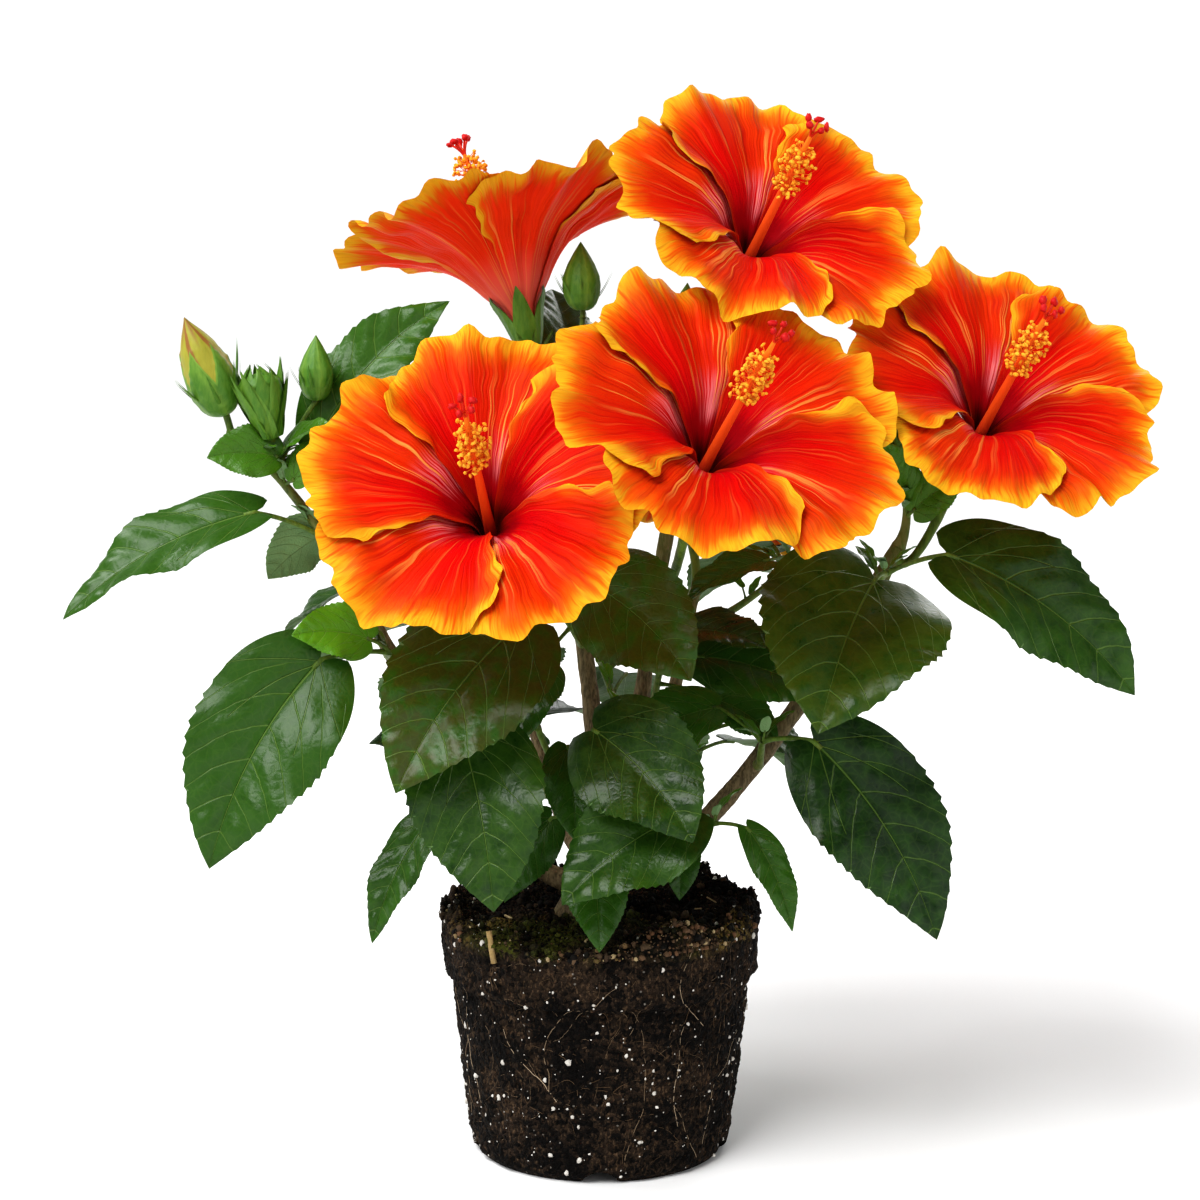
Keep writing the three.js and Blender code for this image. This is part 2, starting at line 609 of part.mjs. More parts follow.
function add(name, solid, finish) {
  const mesh = solid.getMesh();
  const geometry = new THREE.BufferGeometry();
  geometry.setAttribute('position', new THREE.BufferAttribute(mesh.vertProperties, 3));
  geometry.setIndex(new THREE.BufferAttribute(mesh.triVerts, 1));
  const [color, roughness] = colours[finish];
  const piece = new THREE.Mesh(geometry, new THREE.MeshStandardMaterial({ color, roughness, metalness: 0 }));
  piece.name = name;
  plant.add(piece);
}

function keepStemClear(name, stem, count) {
  for (let i = 0; i <= count; i += 1) {
    keepClear(stem.curve.getPoint(i / count), stem.radiusAt(i / count), name);
  }
}

add('root_ball', rootBall(), 'soil');
for (const [name, spec] of Object.entries(LIMBS)) {
  limbs[name] = route(spec);
  add(name, stemSolid(limbs[name], LIMB_SIDES, spec.step ?? LIMB_STEP), 'bark');
  keepStemClear(name, limbs[name], 20);
}
for (const [name, spec] of Object.entries(BLOOMS)) {
  const stalk = route({
    ...spec, tip: spec.calyx, arrive: spec.face[1] + STALK.lift, radii: [STALK.root, STALK.end],
  });
  add(name, fuse([stemSolid(stalk, TWIG_SIDES, TWIG_STEP), ...bloomSolids(spec)]), 'petals');
  bloomMarks(spec).forEach((mark) => keepClear(mark, REACH.petal, name));
}
const shoots = Object.entries(SHOOTS).map(([name, spec]) => {
  const stem = route(spec);
  return { name, spec, stem, leaves: (spec.leaves ?? []).map((row) => handLeaf(stem, row)) };
});
for (const { name, stem, leaves } of shoots) {
  keepStemClear(name, stem, 8);
  leaves.flatMap(leafMarks).forEach((mark) => keepClear(mark, 0, name));
}
for (const { name, spec, stem, leaves } of shoots) {
  const grown = spec.grow ? grownLeaves(name, stem, spec) : [];
  const buds = (spec.buds ?? []).map((row) => handBud(stem, row));
  add(name, fuse([
    stemSolid(stem, TWIG_SIDES, TWIG_STEP), ...[...leaves, ...grown].flatMap(leafSolids),
    ...buds.flatMap(budSolids),
  ]), 'foliage');
}

export default plant;
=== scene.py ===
"""A young hibiscus on its bare root ball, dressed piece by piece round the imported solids."""

import json
import math

import bpy
import numpy as np
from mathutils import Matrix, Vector, noise

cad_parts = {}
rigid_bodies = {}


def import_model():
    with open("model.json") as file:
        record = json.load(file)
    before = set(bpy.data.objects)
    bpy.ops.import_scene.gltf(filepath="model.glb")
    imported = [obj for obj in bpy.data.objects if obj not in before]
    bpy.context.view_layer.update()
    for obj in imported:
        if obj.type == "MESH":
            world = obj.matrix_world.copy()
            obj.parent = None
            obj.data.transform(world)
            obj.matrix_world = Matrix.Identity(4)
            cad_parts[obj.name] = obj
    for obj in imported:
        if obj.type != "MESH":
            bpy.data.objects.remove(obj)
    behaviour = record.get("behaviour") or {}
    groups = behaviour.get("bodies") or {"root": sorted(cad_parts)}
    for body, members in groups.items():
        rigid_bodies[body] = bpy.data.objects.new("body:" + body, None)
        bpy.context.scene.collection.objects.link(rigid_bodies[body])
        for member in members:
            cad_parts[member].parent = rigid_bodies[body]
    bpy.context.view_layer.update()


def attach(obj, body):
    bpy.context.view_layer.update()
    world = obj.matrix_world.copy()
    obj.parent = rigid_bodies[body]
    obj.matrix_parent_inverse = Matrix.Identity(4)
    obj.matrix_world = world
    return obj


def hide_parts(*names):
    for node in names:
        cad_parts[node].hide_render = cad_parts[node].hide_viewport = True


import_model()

# ---------------------------------------------------------------- studio
# A plain pale floor under a sky that is white low down, two broad suns and two soft lamps, and a
# camera level with the upper blooms that looks a little downwards.
CAMERA_AT = (0.0, -1.4, 0.484)
CAMERA_DIP = 10.25
LENS = 104.6
SENSOR = 36
FLOOR_HALF = 200.0
PALE = (0.90, 0.90, 0.90, 1.0)
FLOOR_ROUGHNESS = 0.9
SKY_LOW = 1.0
SKY_HIGH = 0.26
SKY_BAND = (0.10, 0.32)
LAMP_TARGET = Vector((0, 0, 0.25))

scene = bpy.context.scene
scene.view_settings.view_transform = "Standard"
scene.view_settings.look = "Medium High Contrast"
camera = bpy.data.objects.new("camera", bpy.data.cameras.new("camera"))
camera.location = CAMERA_AT
camera.rotation_euler = (math.radians(90 - CAMERA_DIP), 0, 0)
camera.data.lens = LENS
camera.data.sensor_width = SENSOR
camera.data.clip_end = 2 * FLOOR_HALF
scene.collection.objects.link(camera)
scene.camera = camera

floor_mesh = bpy.data.meshes.new("floor")
corners = [(x * FLOOR_HALF, y * FLOOR_HALF, 0) for x, y in ((-1, -1), (1, -1), (1, 1), (-1, 1))]
floor_mesh.from_pydata(corners, [], [(0, 1, 2, 3)])
floor = bpy.data.objects.new("floor", floor_mesh)
scene.collection.objects.link(floor)
floor_paint = bpy.data.materials.new("floor_paint")
floor_paint.use_nodes = True
floor_shader = floor_paint.node_tree.nodes["Principled BSDF"].inputs
floor_shader["Base Color"].default_value = PALE
floor_shader["Roughness"].default_value = FLOOR_ROUGHNESS
floor_mesh.materials.append(floor_paint)


class Wire:
    """A socket of a finish: arithmetic on it adds Math nodes, and node() adds any other node."""

    def __init__(self, tree, socket=None):
        self.tree = tree
        self.socket = socket

    def node(self, kind, settings=None, inputs=None, out=0):
        made = self.tree.nodes.new("ShaderNode" + kind)
        for name, value in (settings or {}).items():
            setattr(made, name, value)
        for key, value in (inputs or {}).items():
            if isinstance(value, Wire):
                self.tree.links.new(value.socket, made.inputs[key])
            else:
                made.inputs[key].default_value = value
        return Wire(self.tree, made.outputs[out] if len(made.outputs) else None)

    def math(self, operation, *values):
        return self.node("Math", {"operation": operation}, dict(enumerate(values)))

    def __add__(self, other):
        return self.math("ADD", self, other)

    def __sub__(self, other):
        return self.math("SUBTRACT", self, other)

    def __rsub__(self, other):
        return self.math("SUBTRACT", other, self)

    def __mul__(self, other):
        return self.math("MULTIPLY", self, other)

    def __truediv__(self, other):
        return self.math("DIVIDE", self, other)

    def __abs__(self):
        return self.math("ABSOLUTE", self)

    __radd__ = __add__
    __rmul__ = __mul__


def ease(value, low, high):
    """0 below low and 1 above high, with a soft step between them."""
    inputs = {"Value": value, "From Min": low, "From Max": high}
    return value.node("MapRange", {"interpolation_type": "SMOOTHSTEP"}, inputs)


scene.world = bpy.data.worlds.new("sky")
scene.world.use_nodes = True
sky = scene.world.node_tree
backdrop = sky.nodes["Background"].inputs
backdrop["Color"].default_value = (1.0, 1.0, 1.0, 1.0)
way = Wire(sky).node("TexCoord")
overhead = ease(way.node("SeparateXYZ", None, {0: way}, out=2), *SKY_BAND)
strength = SKY_LOW - (SKY_LOW - SKY_HIGH) * overhead
sky.links.new(strength.socket, backdrop["Strength"])

LAMPS = {                              # kind, place, power, width in metres or spread in degrees
    "window_lamp": ("SUN", (-0.65, -0.9, 1.6), 2.7, 36.0),
    "fill_lamp": ("SUN", (1.0, -1.2, 0.8), 0.45, 50.0),
    "leaf_lamp": ("AREA", (-0.9, 0.1, 1.2), 8.0, 0.5),
    "rear_lamp": ("AREA", (0.5, 1.1, 0.9), 5.0, 0.7),
}
for name, (kind, place, power, width) in LAMPS.items():
    lamp = bpy.data.objects.new(name, bpy.data.lights.new(name, kind))
    lamp.data.energy = power
    if kind == "SUN":
        lamp.data.angle = math.radians(width)
    else:
        lamp.data.size = width
    lamp.location = place
    lamp.rotation_euler = (LAMP_TARGET - lamp.location).to_track_quat("-Z", "Y").to_euler()
    scene.collection.objects.link(lamp)

# ---------------------------------------------------------------- root ball
# Damp peat that kept the shape of its pot, banded at the rim and notched round the foot. White
# perlite, tan roots and crumbs are pressed into it, and moss and straw lie along the top edge.
MM = 0.001
SOIL_TOP = 100.0
BALL_PROFILE = (
    (0, 0), (50.5, 0), (53.5, 3), (57.4, 34.7), (60.3, 62), (60.0, 64), (60.6, 66), (61.2, 74.5),
    (64.5, 76), (66, 101), (62, 104), (57, 100.8), (22, SOIL_TOP), (0, SOIL_TOP),
)
BALL_ROWS = 152
BALL_COLUMNS = 320
NOTCHES = 5
NOTCH_HALF = 7.0
NOTCH_FROM = 33.5
NOTCH_HEIGHT = 5.5
RIM_HEIGHT = 103
RIM_LUMPS = 2.4
RIM_SPIKES = 6.0
FRONT_DROP = 2.5
MOUND = (6.5, -62, 15)                 # height, bearing and spread in degrees
DIP = (3.0, -108, 18)
PEAT_BLACK = (0.0032, 0.0024, 0.0019, 1)
PEAT_BROWN = (0.034, 0.0215, 0.0135, 1)
PEAT_FIBRE = (0.125, 0.078, 0.044, 1)
MOSS = (0.075, 0.082, 0.011, 1)
DRY_MOSS = (0.210, 0.145, 0.040, 1)
GRIT = (0.34, 0.31, 0.27, 1)


def open_finish(name):
    material = bpy.data.materials.new(name)
    material.use_nodes = True
    material.node_tree.nodes.clear()
    start = Wire(material.node_tree)
    return material, start, start.node("TexCoord", out="Object")


def close_finish(start, colour, roughness, relief, depth, gloss, **fixed):
    """Principled shader with the relief as a bump of that depth in metres."""
    normal = start.node("Bump", None, {"Strength": 1.0, "Distance": depth, "Height": relief})
    sockets = {"Base Color": colour, "Roughness": roughness, "Normal": normal,
               "Specular IOR Level": gloss}
    sockets.update({key.replace("_", " "): value for key, value in fixed.items()})
    shader = start.node("BsdfPrincipled", None, sockets)
    start.node("OutputMaterial", None, {"Surface": shader})


def coats(colour, *layers):
    """The colour under layers that each say how much of them shows and their own colour."""
    for share, over in layers:
        colour = share.node("Mix", {"data_type": "RGBA"}, {0: share, 6: colour, 7: over}, out=2)
    return colour


def stretched(vector, *scale):
    return vector.node("VectorMath", {"operation": "MULTIPLY"}, {0: vector, 1: scale})


def grain(vector, scale, detail=3.0, roughness=0.55, upright=None):
    """Noise with so many spots a metre, drawn out upwards where upright is under 1."""
    if upright:
        vector = stretched(vector, 1.0, 1.0, upright)
    inputs = {"Vector": vector, "Scale": scale, "Detail": detail, "Roughness": roughness}
    return vector.node("TexNoise", None, inputs)


def cells(vector, scale, feature="F1", out=0):
    inputs = {"Vector": vector, "Scale": scale}
    return vector.node("TexVoronoi", {"feature": feature}, inputs, out)


def part_of(vector, index):
    return vector.node("SeparateXYZ", None, {0: vector}, index)


def mark(start, name):
    """A value kept at the points of the mesh."""
    return start.node("Attribute", {"attribute_name": name}, out="Fac")


class Gather:
    """Many small grids joined into one mesh: points in millimetres, with marks and maps at them."""

    def __init__(self):
        self.points, self.quads, self.marks, self.maps = [], [], {}, {}
        self.count = 0

    def grid(self, points, closed=False, flip=False, maps=None, **marks):
        rows, columns = points.shape[:2]
        index = self.count + np.arange(rows * columns).reshape(rows, columns)
        if closed:
            index = np.column_stack([index, index[:, :1]])
        quads = np.stack([index[:-1, :-1], index[:-1, 1:], index[1:, 1:], index[1:, :-1]], -1)
        quads = quads.reshape(-1, 4)
        self.quads.append(quads[:, ::-1] if flip else quads)
        self.points.append(points.reshape(-1, 3))
        for name, value in marks.items():
            spread = np.broadcast_to(value, (rows, columns)).reshape(-1)
            self.marks.setdefault(name, []).append(spread)
        for name, value in (maps or {}).items():
            self.maps.setdefault(name, []).append(value.reshape(-1, 2))
        self.count += rows * columns

    def tube(self, path, radii, sides, closed_ends=True, **marks):
        self.grid(tube(path, radii, sides, closed_ends), closed=True, **marks)

    def lump(self, points, **marks):
        self.grid(points, closed=True, flip=True, **marks)

    def piece(self, name, material, slot, *nodes):
        points = (np.concatenate(self.points) * MM).astype(np.float32)
        quads = np.concatenate(self.quads)
        mesh = bpy.data.meshes.new(name)
        mesh.vertices.add(len(points))
        mesh.vertices.foreach_set("co", points.ravel())
        mesh.loops.add(quads.size)
        mesh.loops.foreach_set("vertex_index", quads.ravel().astype(np.int32))
        mesh.polygons.add(len(quads))
        mesh.polygons.foreach_set("loop_start", np.arange(0, quads.size, 4, dtype=np.int32))
        mesh.polygons.foreach_set("use_smooth", np.ones(len(quads), bool))
        mesh.update(calc_edges=True)
        for key, values in self.marks.items():
            layer = mesh.attributes.new(key, "FLOAT", "POINT")
            layer.data.foreach_set("value", np.concatenate(values).astype(np.float32))
        for key, values in self.maps.items():
            layer = mesh.uv_layers.new(name=key)
            corners = np.concatenate(values)[quads.ravel()]
            layer.uv.foreach_set("vector", corners.ravel().astype(np.float32))
        mesh.materials.append(material)
        made = bpy.data.objects.new(name, mesh)
        scene.collection.objects.link(made)
        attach(made, "root")
        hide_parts(*nodes)


def unit(vectors):
    return vectors / np.maximum(np.linalg.norm(vectors, axis=-1, keepdims=True), 1e-9)


def mix(first, second, share):
    return first + (second - first) * share


def smooth(value, low, high):
    share = np.clip((value - low) / (high - low), 0, 1)
    return share * share * (3 - 2 * share)


def hump(value, centre, width):
    return np.exp(-((value - centre) / width) ** 2)


def rough(points, scale, octaves=4):
    """Fractal noise at each point, for lumps of about that size in millimetres."""
    flat = points.reshape(-1, 3) / scale
    values = [noise.fractal(Vector(p), 1.0, 2.0, octaves) for p in flat]
    return np.array(values).reshape(points.shape[:-1])


def circle(count):
    return np.linspace(0, 2 * np.pi, count, endpoint=False)


def polar(radius, turn, height):
    parts = np.broadcast_arrays(radius * np.cos(turn), radius * np.sin(turn), height)
    return np.stack(parts, -1)


def resample(corners, count):
    """Points evenly spaced along a line with those corners."""
    corners = np.array(corners, float)
    steps = np.linalg.norm(np.diff(corners, axis=0), axis=1)
    travelled = np.concatenate([[0], np.cumsum(steps)])
    shares = np.linspace(0, travelled[-1], count)
    return np.stack([np.interp(shares, travelled, column) for column in corners.T], -1)


ball_line = resample(BALL_PROFILE, BALL_ROWS)
turns = circle(BALL_COLUMNS)
radius, height = ball_line[:, :1], ball_line[:, 1:]
peat = polar(radius, turns, height)
slope = unit(np.gradient(ball_line, axis=0))
outward = polar(slope[:, 1:], turns, -slope[:, :1])
on_top = smooth(height, 98, 101) * smooth(-radius, -64, -58)
at_rim = hump(height, RIM_HEIGHT, 4) * smooth(radius, 52, 60)
crumbly = 1.1 * rough(peat, 9) + 0.75 * rough(peat + 50, 2.4)
lumps = rough(peat + 200, 16)
ragged = rough(peat * [1, 1, 0.3] + 90, 7)
spikes = smooth(rough(peat * [1, 1, 0.2] + 30, 6.5, 3), 0.05, 0.80)
relief = smooth(height, 0, 5) * crumbly + on_top * (2.6 * lumps + 1.8 * crumbly)
peat = peat + outward * relief[..., None]
front = smooth(-peat[..., 1], 10, 50)
bearing = np.degrees(np.arctan2(peat[..., 1], peat[..., 0]))
mound = MOUND[0] * hump(bearing, *MOUND[1:]) - DIP[0] * hump(bearing, *DIP[1:])
rim = RIM_LUMPS * ragged + RIM_SPIKES * spikes * (1 - 0.6 * front) - FRONT_DROP * front + mound
peat[..., 2] += at_rim * rim
for i in range(NOTCHES):
    turn = math.radians(-90 + i * 360 / NOTCHES)
    out = peat[..., 0] * math.cos(turn) + peat[..., 1] * math.sin(turn)
    aside = peat[..., 1] * math.cos(turn) - peat[..., 0] * math.sin(turn)
    arch = NOTCH_HEIGHT * np.sqrt(np.maximum(0, 1 - (aside / NOTCH_HALF) ** 2))
    cut = (arch > 0) & (out > NOTCH_FROM)
    peat[..., 2] = np.where(cut, np.maximum(peat[..., 2], arch), peat[..., 2])
peat[..., 2] = np.maximum(peat[..., 2], 0)

peat_finish, start, place = open_finish("damp_peat")
coarse = grain(place, 45.0)
fine = grain(place, 420.0, 3.0, 0.7)
threads = grain(place, 800.0, 2.0, 0.6, upright=0.5)
wander = start.node("TexNoise", None, {"Vector": place, "Scale": 500.0}, out=1)
wander = stretched(wander, 0.0016, 0.0016, 0.0016)
bent = place.node("VectorMath", {"operation": "ADD"}, {0: place, 1: wander})
clods = cells(bent, 520.0)
shade = start.node("SeparateColor", None, {0: cells(bent, 520.0, out=1)})
high = ease(part_of(place, 2), 0.070, 0.095)
brown = ease(coarse * 0.6 + fine * 0.35 + shade * 0.22 + high * 0.06, 0.52, 0.76)
fibre = ease(threads * 0.8 + coarse * 0.3, 0.60, 0.70)
speck = (1 - ease(cells(place, 300.0), 0.10, 0.17)) * ease(grain(place, 120.0, 1.0), 0.55, 0.60)
colour = coats(
    PEAT_BLACK, (brown, PEAT_BROWN), (fibre * (0.25 + 0.5 * brown), PEAT_FIBRE),
    (mark(start, "moss") * ease(fine, 0.38, 0.58), MOSS),
    (mark(start, "dry") * ease(threads, 0.42, 0.58), DRY_MOSS), (speck * 0.6, GRIT))
relief = fine * 0.5 + threads * 0.3 - clods * 1.1
close_finish(start, colour, 0.75 + 0.25 * fine, relief, depth=0.0030, gloss=0.12)

mossy = hump(bearing, -118, 26) + 0.5 * hump(bearing, -52, 12)
mossy = mossy * smooth(height, 93, 99) * smooth(rough(peat + 400, 14, 2), -0.45, 0.1)
moss_mark = np.clip(mossy * 1.1, 0, 1)
dry = hump(bearing, -34, 16) + 0.7 * hump(bearing, -150, 8)
dry_mark = np.clip(dry * smooth(height, 92, 99) * smooth(rough(peat + 700, 8, 2), -0.2, 0.3), 0, 1)
ball = Gather()
ball.grid(peat, closed=True, moss=moss_mark, dry=dry_mark)
ball.piece("root_ball_peat", peat_finish, "soil", "root_ball")

# What clings to the ball: perlite grains, thin roots and root hairs, and crumbs, bark chips and
# straw over the top and rim. Each lies in the peat with its lower side.
GRAIN_COUNT = 680
CRUMB_COUNT = 1500
CLUMP_COUNT = 460
CHIP_COUNT = 12
ROOTS = dict(count=24, thick=(0.11, 0.23), low=2.4, steps=(22, 60), wander=0.13, pale=(0.35, 0.95))
HAIRS = dict(count=320, thick=(0.06, 0.12), low=0.8, steps=(8, 22), wander=0.25, pale=(0, 0.45))
SPLINTER = ((-42.5, -50.5, 92.0), (-43.5, -50.3, 98.0), (-44.5, -49.5, 105.0))
PERLITE = (0.80, 0.78, 0.74, 1)
PERLITE_GREY = (0.42, 0.38, 0.32, 1)
ROOT_TAN = (0.115, 0.070, 0.036, 1)
ROOT_PALE = (0.48, 0.37, 0.25, 1)
CHIP_BROWN = (0.155, 0.072, 0.034, 1)
CHIP_TAN = (0.42, 0.33, 0.18, 1)
STRAW = (0.38, 0.26, 0.11, 1)


def lump(size, chance, rows=5, columns=7):
    """A small knobbly grain round the origin."""
    tilt = np.linspace(0, np.pi, rows)[:, None]
    knobs = 1 + 0.28 * chance.uniform(-1, 1, (rows, columns, 1))
    knobs[0], knobs[-1] = 1, 1
    shape = polar(np.sin(tilt), circle(columns), np.cos(tilt))
    return shape * knobs * size * chance.uniform(0.65, 1.25, 3)


def tube(path, radii, sides, closed_ends=True):
    """A round bar along the path; its ends close to a point where they show."""
    path = np.asarray(path, float)
    radii = np.broadcast_to(radii, len(path)).astype(float)
    if closed_ends:
        path = np.concatenate([path[:1], path, path[-1:]])
        radii = np.concatenate([[0.01], radii, [0.01]])
    tangents = unit(np.gradient(path, axis=0))
    tangents[0], tangents[-1] = tangents[1], tangents[-2]
    across = np.array([0, 0, 1.0]) if abs(tangents[0][2]) < 0.9 else np.array([1.0, 0, 0])
    turn = circle(sides)[:, None]
    rings = []
    for at, way, thick in zip(path, tangents, radii):
        across = unit(across - way * across.dot(way))
        up = np.cross(way, across)
        rings.append(at + thick * (np.cos(turn) * across + np.sin(turn) * up))
    return np.array(rings)


chance = np.random.default_rng(4)
grains = Gather()
wall = np.argwhere((ball_line[:, 0] > 52) & (ball_line[:, 1] > 2))[:, 0]
for _ in range(GRAIN_COUNT):
    spot = chance.integers(wall[0], wall[-1] + 6), chance.integers(BALL_COLUMNS)
    size = 0.30 + 1.05 * chance.random() ** 3.6
    grains.lump(peat[spot] + lump(size, chance) - outward[spot] * size * 0.2)
grit_finish, start, place = open_finish("perlite_grit")
close_finish(start, coats(PERLITE, (grain(place, 500.0), PERLITE_GREY)),
             0.8 + 0.1 * grain(place, 900.0), grain(place, 2500.0), depth=0.0003, gloss=0.2)
grains.piece("root_ball_perlite", grit_finish, "soil", "root_ball")

roots = Gather()
foot_row, top_row, band_row = wall[0], wall[-1], wall[-1] - 26
for kind in [ROOTS] * ROOTS["count"] + [HAIRS] * HAIRS["count"]:
    thick = chance.uniform(*kind["thick"])
    row = mix(foot_row, band_row if kind is ROOTS else top_row, chance.random() ** kind["low"])
    column = chance.uniform(0, BALL_COLUMNS)
    heading = chance.normal(0, 0.35) if kind is ROOTS else chance.uniform(-1.6, 1.6)
    path = []
    for _ in range(chance.integers(*kind["steps"])):
        heading += chance.normal(0, kind["wander"])
        row += math.cos(heading)
        column += math.sin(heading)
        if not foot_row < row < top_row:
            break
        near = int(row), int(column) % BALL_COLUMNS
        path.append(peat[near] + outward[near] * thick * (0.2 + 0.9 * math.sin(0.5 * row)))
    if len(path) < 7:
        continue
    kernel = np.ones(5) / 5
    even = np.stack([np.convolve(c, kernel, "valid") for c in np.array(path).T], -1)
    roots.tube(even, thick * np.linspace(1, 0.5, len(even)), 5, pale=chance.uniform(*kind["pale"]))
root_finish, start, place = open_finish("root_skin")
streak = grain(place, 700.0, upright=0.4)
pale = ease(mark(start, "pale") + 0.5 * (streak - 0.5), 0.15, 1.0)
colour = coats(ROOT_TAN, (pale, ROOT_PALE))
close_finish(start, colour, 0.62 + 0.2 * streak, streak, depth=0.0002, gloss=0.2)
roots.piece("root_ball_roots", root_finish, "soil", "root_ball")

crumbs = Gather()
top = np.argwhere(ball_line[:, 1] > 99)[:, 0]
for i in range(CRUMB_COUNT):
    row = int(top[0] + (1 - chance.random() ** 0.6) * (len(top) - 1))
    spot = row, chance.integers(BALL_COLUMNS)
    size = 0.5 + 1.5 * chance.random() ** 2.5
    crumbs.lump(peat[spot] + [0, 0, size * 0.35] + lump(size, chance, 4, 6),
                kind=0.5 * chance.random() ** 3, moss=moss_mark[spot])
rim_rows = np.argwhere((ball_line[:, 1] > 97) & (ball_line[:, 0] > 56))[:, 0]
for i in range(CLUMP_COUNT):
    turn = chance.normal(-62, 12) if i % 3 else chance.uniform(-165, -15)
    spot = chance.choice(rim_rows), int(turn / 360 * BALL_COLUMNS) % BALL_COLUMNS
    size = 0.35 + 1.05 * chance.random() ** 3
    crumbs.lump(peat[spot] + outward[spot] * chance.uniform(0, 1.0) + lump(size, chance, 4, 6),
                kind=0.45 + 0.65 * chance.random() ** 1.6, moss=0.7 * (turn < -80 and i % 2))
for i in range(CHIP_COUNT):
    turn = math.radians(chance.uniform(0, 360))
    radius = chance.uniform(35, 63)
    way = unit(chance.normal(0, 1, 3) * [1, 1, 0.3])
    at = np.array([radius * math.cos(turn), radius * math.sin(turn), RIM_HEIGHT])
    path = at + way * np.linspace(-0.5, 0.5, 6)[:, None] * chance.uniform(4, 9)
    crumbs.tube(path, chance.uniform(0.3, 0.6), 5, kind=chance.uniform(0.9, 1.3), moss=0.0)
crumbs.tube(SPLINTER, 1.2, 6, kind=2.0, moss=0.0)
crumb_finish, start, place = open_finish("crumbs_and_straw")
fine = grain(place, 700.0, 3.0, 0.7)
kind = mark(start, "kind")
colour = coats(
    PEAT_BLACK, (ease(kind + fine * 0.4, 0.30, 0.95), PEAT_FIBRE),
    (mark(start, "moss") * ease(fine, 0.35, 0.55), MOSS), (ease(kind, 0.55, 0.85) * 0.6, CHIP_BROWN),
    (ease(kind, 0.90, 1.05) * 0.8, CHIP_TAN), (ease(kind, 1.4, 1.9) * ease(fine, 0.30, 0.50), STRAW))
close_finish(start, colour, 0.7 + 0.25 * fine, fine, depth=0.0009, gloss=0.2)
crumbs.piece("root_ball_crumbs", crumb_finish, "soil", "root_ball")

# ---------------------------------------------------------------- stem and boughs
# One short stem forks just above the soil into slender boughs. The bark is thin and grey-brown, with
# fine cracks, paler breathing pores and a ring under each old leaf, and turns green towards the tips.
LIMBS = {
    "main_stem": dict(start=(-8, 0, 100.3), tip=(-3, 2, 134), leave=90, arrive=84, radii=(7.6, 6.2),
                      flare=3.4),
    "bough_left": dict(on="main_stem", at=0.34, out=178, tip=(-109, -16, 256), arrive=60,
                       radii=(4, 2.7)),
    "bough_right": dict(on="main_stem", at=0.4, out=-8, tip=(121, -6, 254), arrive=62,
                        radii=(4.6, 3.2)),
    "bough_centre": dict(on="main_stem", at=1, tip=(-21, 22, 302), arrive=82, radii=(4.3, 2.3)),
    "bough_back": dict(on="main_stem", at=0.84, out=55, tip=(46, 25, 318), arrive=62,
                       radii=(4.4, 2.4)),
    "bough_rear_left": dict(on="main_stem", at=0.74, out=125, tip=(-38, 44, 204), arrive=60,
                            radii=(3.6, 2.5)),
    "bough_rear_right": dict(on="bough_right", at=0.13, out=88, tip=(40, 48, 226), arrive=66,
                             radii=(3.5, 2.4)),
}
GAP = 0.3
BARK_SIDES = 30
BARK_STEP = 1.1
BARK_RELIEF = 0.05
RING_EVERY = 23
RING_WIDTH = 0.9
COLLAR = 1.35                          # both in radii of the thinner stem
COLLAR_LENGTH = 1.6
STEM_SUNK = 4                          # how far the cut foot reaches into the peat
BARK_GREY = (0.190, 0.140, 0.072, 1)
BARK_DARK = (0.070, 0.050, 0.024, 1)
BARK_PORE = (0.26, 0.19, 0.105, 1)
GREEN_BARK = (0.105, 0.150, 0.024, 1)


def aim(bearing, rise):
    level = math.cos(math.radians(rise))
    turn = math.radians(bearing)
    return np.array([level * math.cos(turn), level * math.sin(turn), math.sin(math.radians(rise))])


def flatten(vector, along):
    return unit(vector - along * vector.dot(along))


